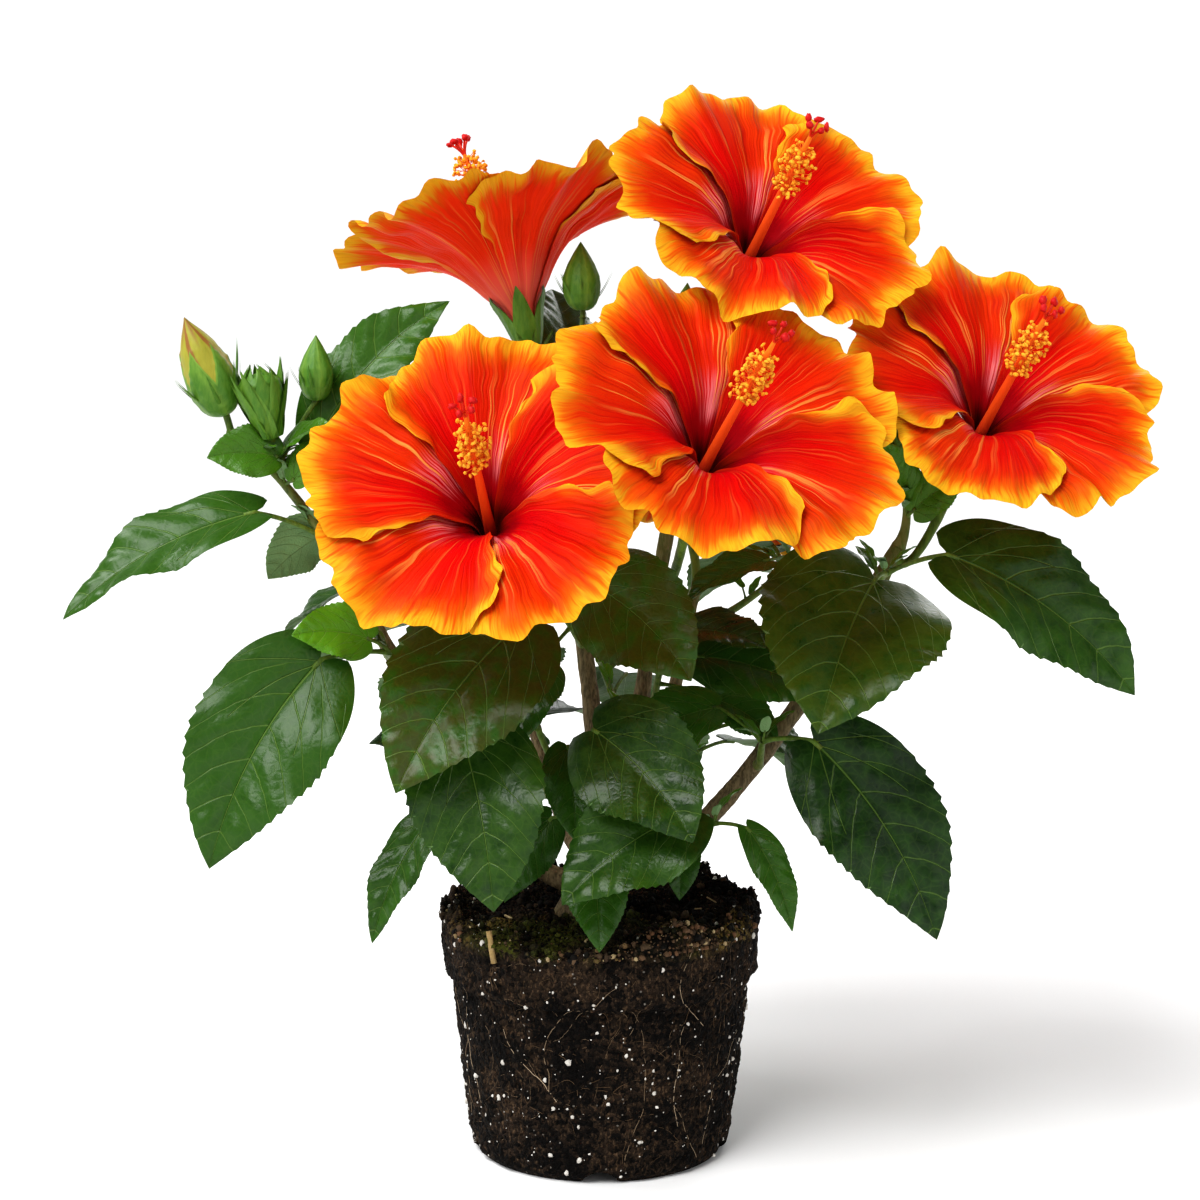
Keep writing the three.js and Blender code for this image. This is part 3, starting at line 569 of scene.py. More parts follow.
class Stem:
    """A limb or twig on one curve, thinning from its foot to its tip."""

    def __init__(self, spec, grown):
        tip = np.array(spec["tip"], float)
        pull = 1 / 3
        self.parent = grown.get(spec.get("on"))
        if self.parent:
            share = spec["at"]
            tangent = self.parent.tangent(share)
            leaving = tangent if share == 1 else flatten(aim(spec["out"], 0), tangent)
            clear = GAP if share == 1 else self.parent.radius(share) + 2 * GAP
            foot = self.parent.point(share) + leaving * clear
            self.root = self.parent.point(share)
            pull = pull if share == 1 else pull / 2
        else:
            foot = np.array(spec["start"], float)
            leaving = aim(0, spec["leave"])
            self.root = foot - STEM_SUNK * leaving
        chord = tip - foot
        arriving = aim(math.degrees(math.atan2(chord[1], chord[0])), spec["arrive"])
        self.span = np.linalg.norm(chord)
        self.posts = np.array([foot, foot + leaving * self.span * pull,
                               tip - arriving * self.span / 3, tip])
        self.radii = spec["radii"]
        self.flare = spec.get("flare", 0)
        self.forks = spec.get("at") != 1

    def point(self, share):
        t = np.asarray(share)[..., None]
        weights = (1 - t) ** 3, 3 * (1 - t) ** 2 * t, 3 * (1 - t) * t ** 2, t ** 3
        return sum(weight * post for weight, post in zip(weights, self.posts))

    def tangent(self, share):
        return unit(self.point(min(share + 0.0001, 1.0)) - self.point(max(share - 0.0001, 0.0)))

    def radius(self, share):
        return mix(*self.radii, share) + self.flare * np.maximum(0, 1 - 3 * share) ** 2

    def skin_line(self, step):
        """Points and radii for the finished stem, joined to its parent with a small collar."""
        shares = np.linspace(0, 1, max(4, math.ceil(self.span / step)))
        path = self.point(shares)
        radii = self.radius(shares)
        if self.parent:
            travelled = shares * self.span
            wide = self.radii[0] * COLLAR if self.forks else self.parent.radii[1]
            fading = np.exp(-travelled / (self.radii[0] * COLLAR_LENGTH))
            radii = radii + np.maximum(0, wide - self.radii[0]) * fading
        return np.concatenate([[self.root], path]), np.concatenate([radii[:1], radii])


bark_finish, start, place = open_finish("young_bark")
high_up = ease(part_of(place, 2), 0.16, 0.30)
cracks = grain(place, 900.0, 4.0, 0.65, upright=0.22)
patches = grain(place, 90.0)
pores = cells(stretched(place, 1.0, 1.0, 0.6), 330.0)
pore = (1 - ease(pores, 0.16, 0.26)) * ease(patches, 0.45, 0.6)
colour = coats(
    BARK_DARK, (ease(cracks, 0.36, 0.62), BARK_GREY), (high_up * mark(start, "green"), GREEN_BARK),
    (ease(patches, 0.5, 0.75) * 0.25, BARK_PORE), (pore * 0.5, BARK_PORE))
close_finish(start, colour, 0.55 + 0.3 * patches, cracks + pore * 0.5, depth=0.0006, gloss=0.25)

limbs = {}
for name, spec in LIMBS.items():
    limb = limbs[name] = Stem(spec, limbs)
    path, radii = limb.skin_line(BARK_STEP)
    bark = tube(path, radii, BARK_SIDES, closed_ends=False)
    way = unit(bark - path[:, None])
    travelled = np.linspace(0, limb.span, len(path))[:, None]
    fissures = rough(bark * [1, 1, 0.3], 2.2, 3)
    swell = rough(path[:, None] + 300, 14, 2)
    rings = hump(travelled % RING_EVERY, 12 - 3 * swell, RING_WIDTH)
    push = limb.radii[0] * BARK_RELIEF * (fissures + swell + rings)
    bark = np.concatenate([bark + way * push[..., None], path[-1] + 0 * bark[-1:]])
    green = np.linspace(0, 1, len(bark))[:, None] * (name != "main_stem")
    skin = Gather()
    skin.grid(bark, closed=True, green=green)
    skin.piece(name + "_bark", bark_finish, "bark", name)

# ---------------------------------------------------------------- shoots: twigs and leaf stalks
# Each leafy shoot is one green stem with its leaves and buds on stalks. A row of `leaves` says
#   share of the stem, stalk bearing, rise, length, blade bearing, rise, length, facing, width share
# and a row of `buds` says the same for a bud, ending in its width. `grow` more follow by a seeded rule.
SHOOTS = {
    "shoot_left_tip": dict(
        on="bough_left", at=1, tip=(-147, -20, 302), arrive=40, radii=(2.2, 1.2),
        leaves=[(0.06, -158, 22, 31, -168, -27, 88, 64, 0.42), (0.14, 30, -12, 8, -168, -34, 34, 150, 0.85),
                (0.62, -70, 40, 11, -165, 2, 29, 28, 0.8), (0.62, 8, 34, 22, 14, 46, 78, 42, 0.46),
                (0.7, -35, 32, 12, -30, 28, 26, 60), (0.5, -60, 20, 8, -40, 38, 26, 40)],
        buds=[(1, -170, 75, 8, -166, 68, 42, 21), (0.66, -70, 62, 14, 180, 77, 27, 21),
              (0.6, 8, 60, 34, 90, 88, 26, 14)]),
    "shoot_left_low": dict(
        on="bough_left", at=0.74, out=-100, tip=(-84, -25, 214), arrive=20, radii=(1.7, 1.3),
        leaves=[(1, -150, 0, 31, -150, -57, 95, 16, 0.62), (1, -130, 30, 14, -155, 8, 34, 24, 0.72)]),
    "shoot_low_left": dict(
        on="bough_left", at=0.4, out=-140, tip=(-54, -14, 160), arrive=0, radii=(1.6, 1.2),
        leaves=[(1, -140, -38, 22, -146, -58, 58, 60, 0.38), (0.9, -125, 45, 24, 176, 0, 30, 60)]),
    "shoot_front_left": dict(
        on="bough_centre", at=0.07, out=-128, tip=(-25, -30, 184), arrive=62, radii=(1.9, 1.3),
        leaves=[(1, -140, 8, 40, -66, -62, 76, 18, 0.74), (0.7, -60, 30, 16, -80, -62, 40, 20)]),
    "shoot_front_high": dict(
        on="bough_centre", at=0.46, out=-95, tip=(-14, -14, 226), arrive=30, radii=(1.8, 1.4),
        leaves=[(1, -115, 8, 36, -140, -42, 90, 26, 0.7), (1, -58, 40, 26, -36, -34, 60, 16, 0.8),
                (0.7, -130, -35, 22, -110, -40, 44, 40)]),
    "shoot_front_low": dict(
        on="main_stem", at=0.8, out=-80, tip=(4, -30, 158), arrive=60, radii=(1.9, 1.4),
        leaves=[(1, -105, 50, 40, -40, -36, 64, 24, 0.8), (0.85, -46, 6, 50, -160, -30, 66, 40, 0.7),
                (0.4, -95, 0, 26, -85, -50, 44, 30), (0.7, 170, -6, 22, -150, -55, 40, 30)]),
    "shoot_front_right": dict(
        on="bough_back", at=0.42, out=-50, tip=(26, -4, 208), arrive=40, radii=(1.7, 1.3),
        leaves=[(1, -50, 8, 22, -30, -12, 62, 50), (0.9, -72, 40, 24, -40, 0, 46, 60),
                (0.6, -20, -10, 22, -25, -26, 36, 40)]),
    "shoot_right_low": dict(
        on="bough_right", at=0.3, out=-95, tip=(46, -20, 142), arrive=20, radii=(1.5, 1.2),
        leaves=[(1, -38, 2, 17, -36, -60, 46, 60, 0.36), (0.8, -130, -10, 14, -100, -60, 26, 30)]),
    "shoot_right_mid": dict(
        on="bough_right", at=0.52, out=-75, tip=(66, -22, 177), arrive=20, radii=(1.7, 1.3),
        leaves=[(1, -20, 4, 21, -25, -54, 95, 20, 0.56), (0.9, 150, 30, 24, -160, -20, 44, 40)]),
    "shoot_right_high": dict(
        on="bough_right", at=0.9, out=-85, tip=(114, -24, 246), arrive=20, radii=(1.7, 1.4),
        leaves=[(1, -108, 0, 16, -112, -34, 86, 24, 0.9), (0.9, -22, 20, 28, -2, -36, 96, 44, 0.56),
                (0.6, 120, 0, 24, 95, -20, 46, 120)]),
    "shoot_right_tip": dict(
        on="bough_right", at=1, tip=(124, -2, 288), arrive=80, radii=(2, 1.2),
        leaves=[(0.35, -70, 30, 8, -40, 30, 34, 30), (0.5, -110, 30, 8, -120, 55, 30, 20),
                (0.7, 120, 50, 10, 110, 40, 40, 100), (0.85, 170, 60, 8, 150, 62, 30, 60)],
        buds=[(0.6, -40, 30, 12, -45, 50, 24, 13), (1, 90, 80, 3, 100, 84, 28, 14)]),
    "shoot_top_left": dict(
        on="bough_centre", at=0.9, out=10, tip=(-7, 22, 344), arrive=84, radii=(1.7, 1.2),
        leaves=[(0.55, -30, 30, 14, 5, 14, 52, 70), (0.4, -150, 20, 18, -176, -20, 44, 70)],
        buds=[(1, 100, 85, 3, 100, 80, 28, 16)]),
    "shoot_top_right": dict(
        on="bough_back", at=0.84, out=-120, tip=(34, 2, 332), arrive=70, radii=(1.6, 1.2),
        leaves=[(0.5, -150, 10, 14, 170, 5, 34, 60)], buds=[(1, 90, 80, 4, 60, 84, 24, 13)]),
    "shoot_rear_top": dict(
        on="bough_centre", at=0.72, out=100, tip=(-8, 62, 306), arrive=70, radii=(1.8, 1.2),
        leaves=[(1, 110, 50, 14, 105, 40, 50, 110), (0.9, 160, 35, 14, 142, 18, 46, 110),
                (0.76, 75, 60, 16, 60, 62, 36, 130)]),
    "shoot_rear_low_left": dict(
        on="bough_rear_left", at=0.4, out=150, tip=(-50, 50, 166), arrive=30, radii=(1.9, 1.2),
        seed=14, first=60, grow=6, room=((-40, 72, 150), (64, 90, 70))),
    "shoot_rear_left": dict(
        on="bough_rear_left", at=0.8, out=-170, tip=(-76, 44, 226), arrive=60, radii=(1.9, 1.2),
        seed=5, first=100, grow=7, room=((-65, 75, 220), (80, 95, 80))),
    "shoot_rear_middle": dict(
        on="bough_back", at=0.36, out=100, tip=(0, 76, 190), arrive=30, radii=(1.9, 1.2),
        seed=23, first=40, grow=7, room=((0, 85, 180), (75, 90, 90))),
    "shoot_rear_low_right": dict(
        on="bough_rear_right", at=0.36, out=60, tip=(44, 66, 160), arrive=20, radii=(1.9, 1.2),
        seed=17, first=20, grow=6, room=((40, 82, 150), (64, 90, 70))),
    "shoot_rear_right": dict(
        on="bough_rear_right", at=0.9, out=10, tip=(82, 48, 240), arrive=50, radii=(1.9, 1.2),
        seed=31, first=150, grow=7, room=((80, 60, 220), (85, 95, 80))),
}
BLOOMS = {
    "bloom_front_left": dict(on="bough_centre", at=0.6, out=-110, calyx=(-42, -32, 258), face=(-97, 40),
                             column=(-100, 49), spin=92, size=1),
    "bloom_front_right": dict(on="bough_back", at=0.62, out=-80, calyx=(35, -62, 283), face=(-64, 48),
                              column=(-50, 52), spin=91, size=1),
    "bloom_top": dict(on="bough_back", at=1, calyx=(55, 22, 356), face=(-62, 50),
                      column=(-50, 54), spin=84, size=0.95),
    "bloom_right": dict(on="bough_right", at=0.97, out=5, calyx=(149, 1, 289), face=(-68, 48),
                        column=(-56, 52), spin=86, size=0.94),
    "bloom_left_top": dict(on="bough_centre", at=1, calyx=(-28, 26, 329), face=(127, 66),
                           column=(153, 66), spin=235, size=1.02, open=64, longer=1.03,
                           pollen=(0.78, 0.965)),
    "bloom_rear_left": dict(on="bough_rear_left", at=1, calyx=(-46, 52, 236), face=(112, 35),
                            column=(112, 45), spin=90, size=0.85),
    "bloom_rear_right": dict(on="bough_rear_right", at=1, calyx=(38, 57, 250), face=(70, 40),
                             column=(70, 48), spin=40, size=0.85),
}
LEAF_WIDEST = 0.36
LEAF_POWER = 0.56
LEAF_WIDTH = 0.62
FOLD = math.radians(14)
LEAF_DROOP = 34
LEAF_LOBE = 0.1
LEAF_STEPS = 24
MARK_SHARES = (0.1, 0.26, 0.42, 0.58, 0.74, 0.9)
MARK_WIDTHS = (-0.9, -0.45, 0, 0.45, 0.9)
ELBOW = 6
GOLDEN = 137.5
NUMBER_RULE = (1664525, 1013904223, 4294967296)
GROWN = dict(first_at=0.3, turn_jitter=30, stalk_rise=(0, 30), stalk=(16, 34), rise=(-58, -22),
             rise_jitter=16, length=(84, 56), length_jitter=14, facing=70, tries=6)
PETALS = 5
PETAL_LENGTH = 88
PETAL_HALF_ANGLE = 50
PETAL_TWIST = 5
PETAL_THROAT = 3.2
PETAL_STEPS = 40
PETAL_STEEP = 14
PETAL_OPEN = 76
PETAL_OPENING = (0.05, 0.62)
PETAL_CURL = 16
PETAL_CURL_FROM = 0.6
SHOULDER = 0.22
SHOULDER_POWER = 3
RUFFLE = 3.6
WAVES = 2.5
WAVE_SHIFT = 2.1
HEART = 7
REACH_SHARES = (0.4, 0.6, 0.8, 1)
REACH_WIDTHS = (-1, -0.5, 0, 0.5, 1)
PETAL_REACH = 2


def seeded(seed):
    """The plain number rule that the solids grow by, so that the same leaves come out."""
    factor, shift, span = NUMBER_RULE
    state = seed

    def draw():
        nonlocal state
        state = (state * factor + shift) % span
        return state / span

    return draw


def leaf_width(t):
    t = np.clip(t, 0, 1)
    tip_power = LEAF_POWER * (1 - LEAF_WIDEST) / LEAF_WIDEST
    return (t / LEAF_WIDEST) ** LEAF_POWER * ((1 - t) / (1 - LEAF_WIDEST)) ** tip_power


def midrib(leaf):
    """Stations along the drooping midrib: where each is and which way it runs."""
    at = [leaf["base"]]
    ways = [aim(leaf["bearing"], leaf["rise"] + LEAF_DROOP / 2)]
    for i in range(1, LEAF_STEPS + 1):
        ways.append(aim(leaf["bearing"], leaf["rise"] + LEAF_DROOP * (0.5 - i / LEAF_STEPS)))
        at.append(at[-1] + ways[-1] * leaf["length"] / LEAF_STEPS)
    return np.array(at), np.array(ways)


def leaf_marks(leaf):
    """Points spread over a blade, which show whether it keeps its room and clears the rest."""
    at, ways = midrib(leaf)
    marks = [mix(leaf["root"], leaf["base"], 0.6)]
    for t in MARK_SHARES:
        station = math.floor(t * LEAF_STEPS + 0.5)
        way = ways[station]
        normal = flatten(leaf["face"], way)
        side = np.cross(way, normal)
        back = LEAF_LOBE * leaf["length"] * max(0, 1 - t / LEAF_WIDEST)
        for v in MARK_WIDTHS:
            half = leaf["length"] * leaf["width"] / 2 * leaf_width(t) * v
            marks.append(at[station] + side * half * math.cos(FOLD) + normal * abs(half) * math.sin(FOLD)
                         - way * back * abs(v))
    return np.array(marks)


def on_stalk(stem, share, turn, lift, reach, **blade):
    root = stem.point(share)
    return dict(root=root, base=root + aim(turn, lift) * reach, **blade)


def hand_leaf(stem, row):
    bearing, rise, length, facing = row[4:8]
    return on_stalk(stem, *row[:4], bearing=bearing, rise=rise, length=length,
                    face=aim(-90, facing), width=row[8] if len(row) > 8 else LEAF_WIDTH)


def hand_bud(stem, row):
    bearing, rise, length, width = row[4:]
    return on_stalk(stem, *row[:4], way=aim(bearing, rise), length=length, width=width)


def petal_profile(opened):
    """How far out (r) and up (h) a petal has come after each step along it."""
    step = PETAL_LENGTH / PETAL_STEPS
    s = (np.arange(PETAL_STEPS) + 0.5) / PETAL_STEPS
    curling = np.maximum(0, s - PETAL_CURL_FROM) / (1 - PETAL_CURL_FROM)
    lean = np.radians(mix(PETAL_STEEP, opened, smooth(s, *PETAL_OPENING)) + PETAL_CURL * curling)
    out = PETAL_THROAT + np.concatenate([[0], np.cumsum(np.sin(lean) * step)])
    return out, np.concatenate([[0], np.cumsum(np.cos(lean) * step)])


def bloom_axes(spec):
    """Columns of a bloom's own frame, with its axis last."""
    axis = aim(*spec["face"])
    up = flatten(np.array([0, 0, 1.0]), axis)
    turn = math.radians(spec["spin"])
    side = np.cross(up, axis)
    across = side * math.cos(turn) + up * math.sin(turn)
    return np.stack([across, np.cross(axis, across), axis], -1)


def in_bloom(spec, points):
    return np.array(spec["calyx"]) + points * spec["size"] @ bloom_axes(spec).T


def bloom_marks(spec):
    """Points spread over a bloom's petals, which a grown leaf must clear."""
    out, up = petal_profile(spec.get("open", PETAL_OPEN))
    petal, s, v = np.meshgrid(np.arange(PETALS), REACH_SHARES, REACH_WIDTHS, indexing="ij")
    reach = s * (1 - SHOULDER * np.abs(v) ** SHOULDER_POWER)
    station = np.floor(reach * PETAL_STEPS + 0.5).astype(int)
    turn = np.radians(petal * 360 / PETALS + v * PETAL_HALF_ANGLE)
    wave = RUFFLE * s ** 3 * np.sin(math.pi * WAVES * v + petal * WAVE_SHIFT)
    lift = PETAL_TWIST * v * np.minimum(1, 2 * s) + wave
    return in_bloom(spec, polar(out[station], turn, up[station] + lift + HEART).reshape(-1, 3))


placed = []                            # (points, reach, owner) of all that a grown leaf must clear


def keep_clear(points, reach, owner):
    placed.append((points, np.broadcast_to(reach, len(points)), owner))


def is_clear(marks, owner):
    points = np.concatenate([points for points, _, of in placed if of != owner])
    reach = np.concatenate([reach for _, reach, of in placed if of != owner])
    apart = np.linalg.norm(marks[:, None] - points[None], axis=-1)
    return bool((apart > reach + ELBOW).all())


def grown_leaves(name, stem, spec):
    """Leaves round a stem at the golden angle, each tried until it keeps to its room and is clear."""
    draw = seeded(spec["seed"])
    centre, half = np.array(spec["room"], float)

    def about(middle, jitter):
        return middle + GROWN[jitter] * (2 * draw() - 1)

    for i in range(spec["grow"]):
        share = mix(GROWN["first_at"], 1, i / (spec["grow"] - 1))
        for _ in range(GROWN["tries"]):
            bearing = about(spec["first"] + i * GOLDEN, "turn_jitter")
            stalk = mix(*GROWN["stalk"], draw())
            rise = about(mix(*GROWN["rise"], share), "rise_jitter")
            length = about(mix(*GROWN["length"], share), "length_jitter")
            lift = mix(*GROWN["stalk_rise"], draw())
            leaf = on_stalk(stem, share, bearing, lift, stalk, bearing=about(bearing, "turn_jitter"),
                            rise=rise, length=length, face=aim(bearing, GROWN["facing"]),
                            width=LEAF_WIDTH)
            marks = leaf_marks(leaf)
            inside = (np.linalg.norm((marks - centre) / half, axis=1) < 1).all()
            if inside and is_clear(marks, name):
                keep_clear(marks, 0, name)
                yield leaf
                break


for name, limb in limbs.items():
    shares = np.arange(21) / 20
    keep_clear(limb.point(shares), limb.radius(shares), name)
stalks = {}
for name, spec in BLOOMS.items():
    route = dict(spec, tip=spec["calyx"], arrive=spec["face"][1] + 12, radii=(1.7, 2.2))
    stalks[name] = Stem(route, limbs)
    keep_clear(bloom_marks(spec), PETAL_REACH, name)
shoots = {name: Stem(spec, limbs) for name, spec in SHOOTS.items()}
leaves, buds = {}, {}
for name, stem in shoots.items():
    leaves[name] = [hand_leaf(stem, row) for row in SHOOTS[name].get("leaves", [])]
    buds[name] = [hand_bud(stem, row) for row in SHOOTS[name].get("buds", [])]
    shares = np.arange(9) / 8
    keep_clear(stem.point(shares), stem.radius(shares), name)
    for leaf in leaves[name]:
        keep_clear(leaf_marks(leaf), 0, name)
for name, spec in SHOOTS.items():
    if "grow" in spec:
        leaves[name] += grown_leaves(name, shoots[name], spec)

TWIG_STEP = 1.6
LEAF_STALK = 1.1
BUD_STALK = 0.085                      # of the bud's width
SPRIG_LENGTH = (7, 15)
STALK_GREEN = (0.130, 0.215, 0.024, 1)
STALK_DARK = (0.045, 0.085, 0.010, 1)
STALK_RED = (0.12, 0.035, 0.015, 1)

twig_finish, start, place = open_finish("green_twig")
streak = grain(place, 700.0, upright=0.3)
patches = grain(place, 110.0, 2.0)
colour = coats(
    STALK_DARK, (ease(streak * 0.6 + patches * 0.5, 0.35, 0.75), STALK_GREEN),
    (mark(start, "woody") * ease(streak, 0.3, 0.6), BARK_GREY),
    (ease(patches, 0.55, 0.75) * 0.3, STALK_RED))
close_finish(start, colour, 0.42 + 0.25 * patches, streak, depth=0.0003, gloss=0.3)


def bend(first, middle, last, count):
    """Points on an even curve from first to last that leans towards the middle one."""
    t = np.linspace(0, 1, count)[:, None]
    return (1 - t) ** 2 * first + 2 * (1 - t) * t * middle + t ** 2 * last


def add_stalk(root, tip, onward, thick, sink):
    """A stalk that leaves its stem thick, thins, and swells a little where it meets its blade."""
    middle = mix(root, tip, 0.55) + np.array([0, 0, 0.10]) * np.linalg.norm(tip - root)
    path = np.concatenate([bend(root, middle, tip, 12), [tip + onward * sink]])
    share = np.linspace(0, 1, len(path))
    radii = thick * (0.82 + 0.5 * hump(share, 0, 0.10) + 0.22 * hump(share, 0.94, 0.07))
    twigs.tube(path, radii, 8, woody=0.0)


twigs = Gather()
for name, stem in {**shoots, **stalks}.items():
    path, radii = stem.skin_line(TWIG_STEP)
    swell = 1 + 0.07 * rough(path, 5, 2)
    woody = np.linspace(0.5, 0.0, len(path))[:, None] * (name in shoots)
    twigs.tube(path, radii * swell, 12, closed_ends=False, woody=woody)
chance = np.random.default_rng(11)
sprigs = []                            # tiny leaves in the angle between each leaf stalk and its stem
for name in SHOOTS:
    for leaf in leaves[name]:
        thick = LEAF_STALK * mix(0.75, 1.1, leaf["length"] / 95)
        add_stalk(leaf["root"], leaf["base"], midrib(leaf)[1][0], thick, leaf["length"] * 0.05)
        for _ in range(2):
            bearing = leaf["bearing"] + chance.uniform(-60, 60)
            length = chance.uniform(*SPRIG_LENGTH)
            foot = leaf["root"] + aim(bearing, 50) * 1.5
            base = foot + aim(bearing, chance.uniform(30, 75)) * chance.uniform(2, 6)
            add_stalk(foot, base, aim(bearing, 50), 0.5, 0.5)
            sprigs.append((name, dict(
                root=foot, base=base, bearing=bearing, rise=chance.uniform(15, 55), length=length,
                face=aim(bearing, 110), width=chance.uniform(0.36, 0.5))))
    for bud in buds[name]:
        add_stalk(bud["root"], bud["base"], bud["way"], BUD_STALK * bud["width"], bud["length"] * 0.1)
twigs.piece("twigs", twig_finish, "foliage", *SHOOTS, *BLOOMS)

# ---------------------------------------------------------------- leaves
# Each blade is a thin sheet on its stalk, with a toothed outline and a pointed tip, folded a little
# along the midrib. The upper side is dark and glossy with sunken veins, the underside paler and matt.
LEAF_ROWS = 72
LEAF_HALF_COLUMNS = 8
SPRIG_ROWS = 14
SPRIG_HALF_COLUMNS = 3
LEAF_THICK = 0.45
LEAF_EDGE = 0.15                       # of the thickness
TEETH = 18
SIDE_VEINS = 6.2
VEIN_LEAN = 0.52
VEIN_BEND = 2.5
QUILT = 0.0125                         # swelling between the veins, as a share of the length
TOOTH_DEPTH = 0.058
WAVE = 0.035
LEAF_GROUPS = {
    "leaves_left": ("shoot_left_tip", "shoot_left_low", "shoot_low_left", "shoot_front_left"),
    "leaves_middle": ("shoot_front_high", "shoot_front_low", "shoot_front_right", "shoot_right_low"),
    "leaves_right": ("shoot_right_mid", "shoot_right_high", "shoot_right_tip"),
    "leaves_top": ("shoot_top_left", "shoot_top_right", "shoot_rear_top"),
    "leaves_rear_left": ("shoot_rear_low_left", "shoot_rear_left"),
    "leaves_rear_right": ("shoot_rear_middle", "shoot_rear_low_right", "shoot_rear_right"),
}
LEAF_TINTS = {                         # bronze share, young share, and 1 where the back faces out
    "shoot_left_tip": {1: (0, 0.7, 1), 2: (0, 0.5, 0), 4: (0, 0.6, 0), 5: (0, 0.7, 0)},
    "shoot_left_low": {1: (0, 0.9, 0)},
    "shoot_low_left": {0: (0, 0.1, 0)},
    "shoot_front_left": {0: (0.1, 0, 0)},
    "shoot_front_high": {0: (0.75, 0, 0), 1: (0.85, 0, 0)},
    "shoot_front_low": {0: (0.1, 0, 0), 1: (0.1, 0, 0)},
    "shoot_right_high": {0: (0.55, 0.16, 0), 1: (0.05, 0.06, 0), 2: (0, 0.2, 1)},
    "shoot_right_tip": {0: (0, 0.7, 0), 1: (0, 0.7, 0), 2: (0, 0.6, 0), 3: (0, 0.8, 0)},
}
LEAF_DARK = (0.0044, 0.0200, 0.0023, 1)
LEAF_MID = (0.0215, 0.0720, 0.0055, 1)
LEAF_BRONZE = (0.0400, 0.0340, 0.0036, 1)
LEAF_YOUNG = (0.090, 0.250, 0.010, 1)
LEAF_VEIN = (0.120, 0.205, 0.036, 1)
YOUNG_VEIN = (0.230, 0.400, 0.070, 1)
LEAF_UNDER = (0.095, 0.175, 0.055, 1)
YOUNG_UNDER = (0.18, 0.31, 0.13, 1)
UNDER_VEIN = (0.22, 0.34, 0.125, 1)

leaf_finish, start, place = open_finish("glossy_leaf")
plane = start.node("UVMap", {"uv_map": "blade"})
across, along = abs(part_of(plane, 0)), part_of(plane, 1)
under, young, tint = mark(start, "under"), mark(start, "young"), mark(start, "tint")
lateral = 0.62 * along - 0.42 * along * along - 0.018
branch = (along - across * (VEIN_LEAN + across * VEIN_BEND) + grain(plane, 9.0, 2.0) * 0.03)
branch = branch * SIDE_VEINS + tint
off_branch = abs(branch.math("FRACT", branch) - 0.5) * 2.0
off_main = across.math("MINIMUM", across, abs(across - lateral) * 1.7 + 0.6 * ease(along, 0.4, 0.7))
off_main = across.math("MINIMUM", off_main, abs(across - along * 1.3 + 0.01) * 1.5)
main_vein = 1 - ease(off_main / (0.0068 * (1.15 - along)), 0.35, 1.2)
side_vein = ease(off_branch, 0.92, 0.985) * ease(along, 0.06, 0.16)
net = cells(plane, 24.0, "DISTANCE_TO_EDGE")
net_vein = 1 - ease(net, 0.02, 0.10)
vein = main_vein.math("MAXIMUM", main_vein, side_vein * 0.75)
vein = vein * (0.55 + 0.2 * under) + net_vein * (0.06 + 0.12 * under)
mottle = grain(place, 140.0)
colour = coats(
    LEAF_DARK, (ease(mottle * 0.7 + tint * 0.5, 0.2, 0.75), LEAF_MID),
    (mark(start, "bronze") * ease(mottle, 0.32, 0.60), LEAF_BRONZE),
    (young * (0.8 + 0.3 * mottle), LEAF_YOUNG), (under * 0.85, LEAF_UNDER),
    (under * young, YOUNG_UNDER), (vein, coats(LEAF_VEIN, (young, YOUNG_VEIN), (under, UNDER_VEIN))))
relief = ease(net, 0.0, 0.30) * 0.05 - main_vein * 0.6 - side_vein * 0.22
relief = (relief + grain(place, 900.0, 2.0) * 0.06) * (1 - under * 2.1)
close_finish(start, colour, 0.21 + 0.20 * mottle + 0.25 * under, relief, depth=0.0009, gloss=0.25)


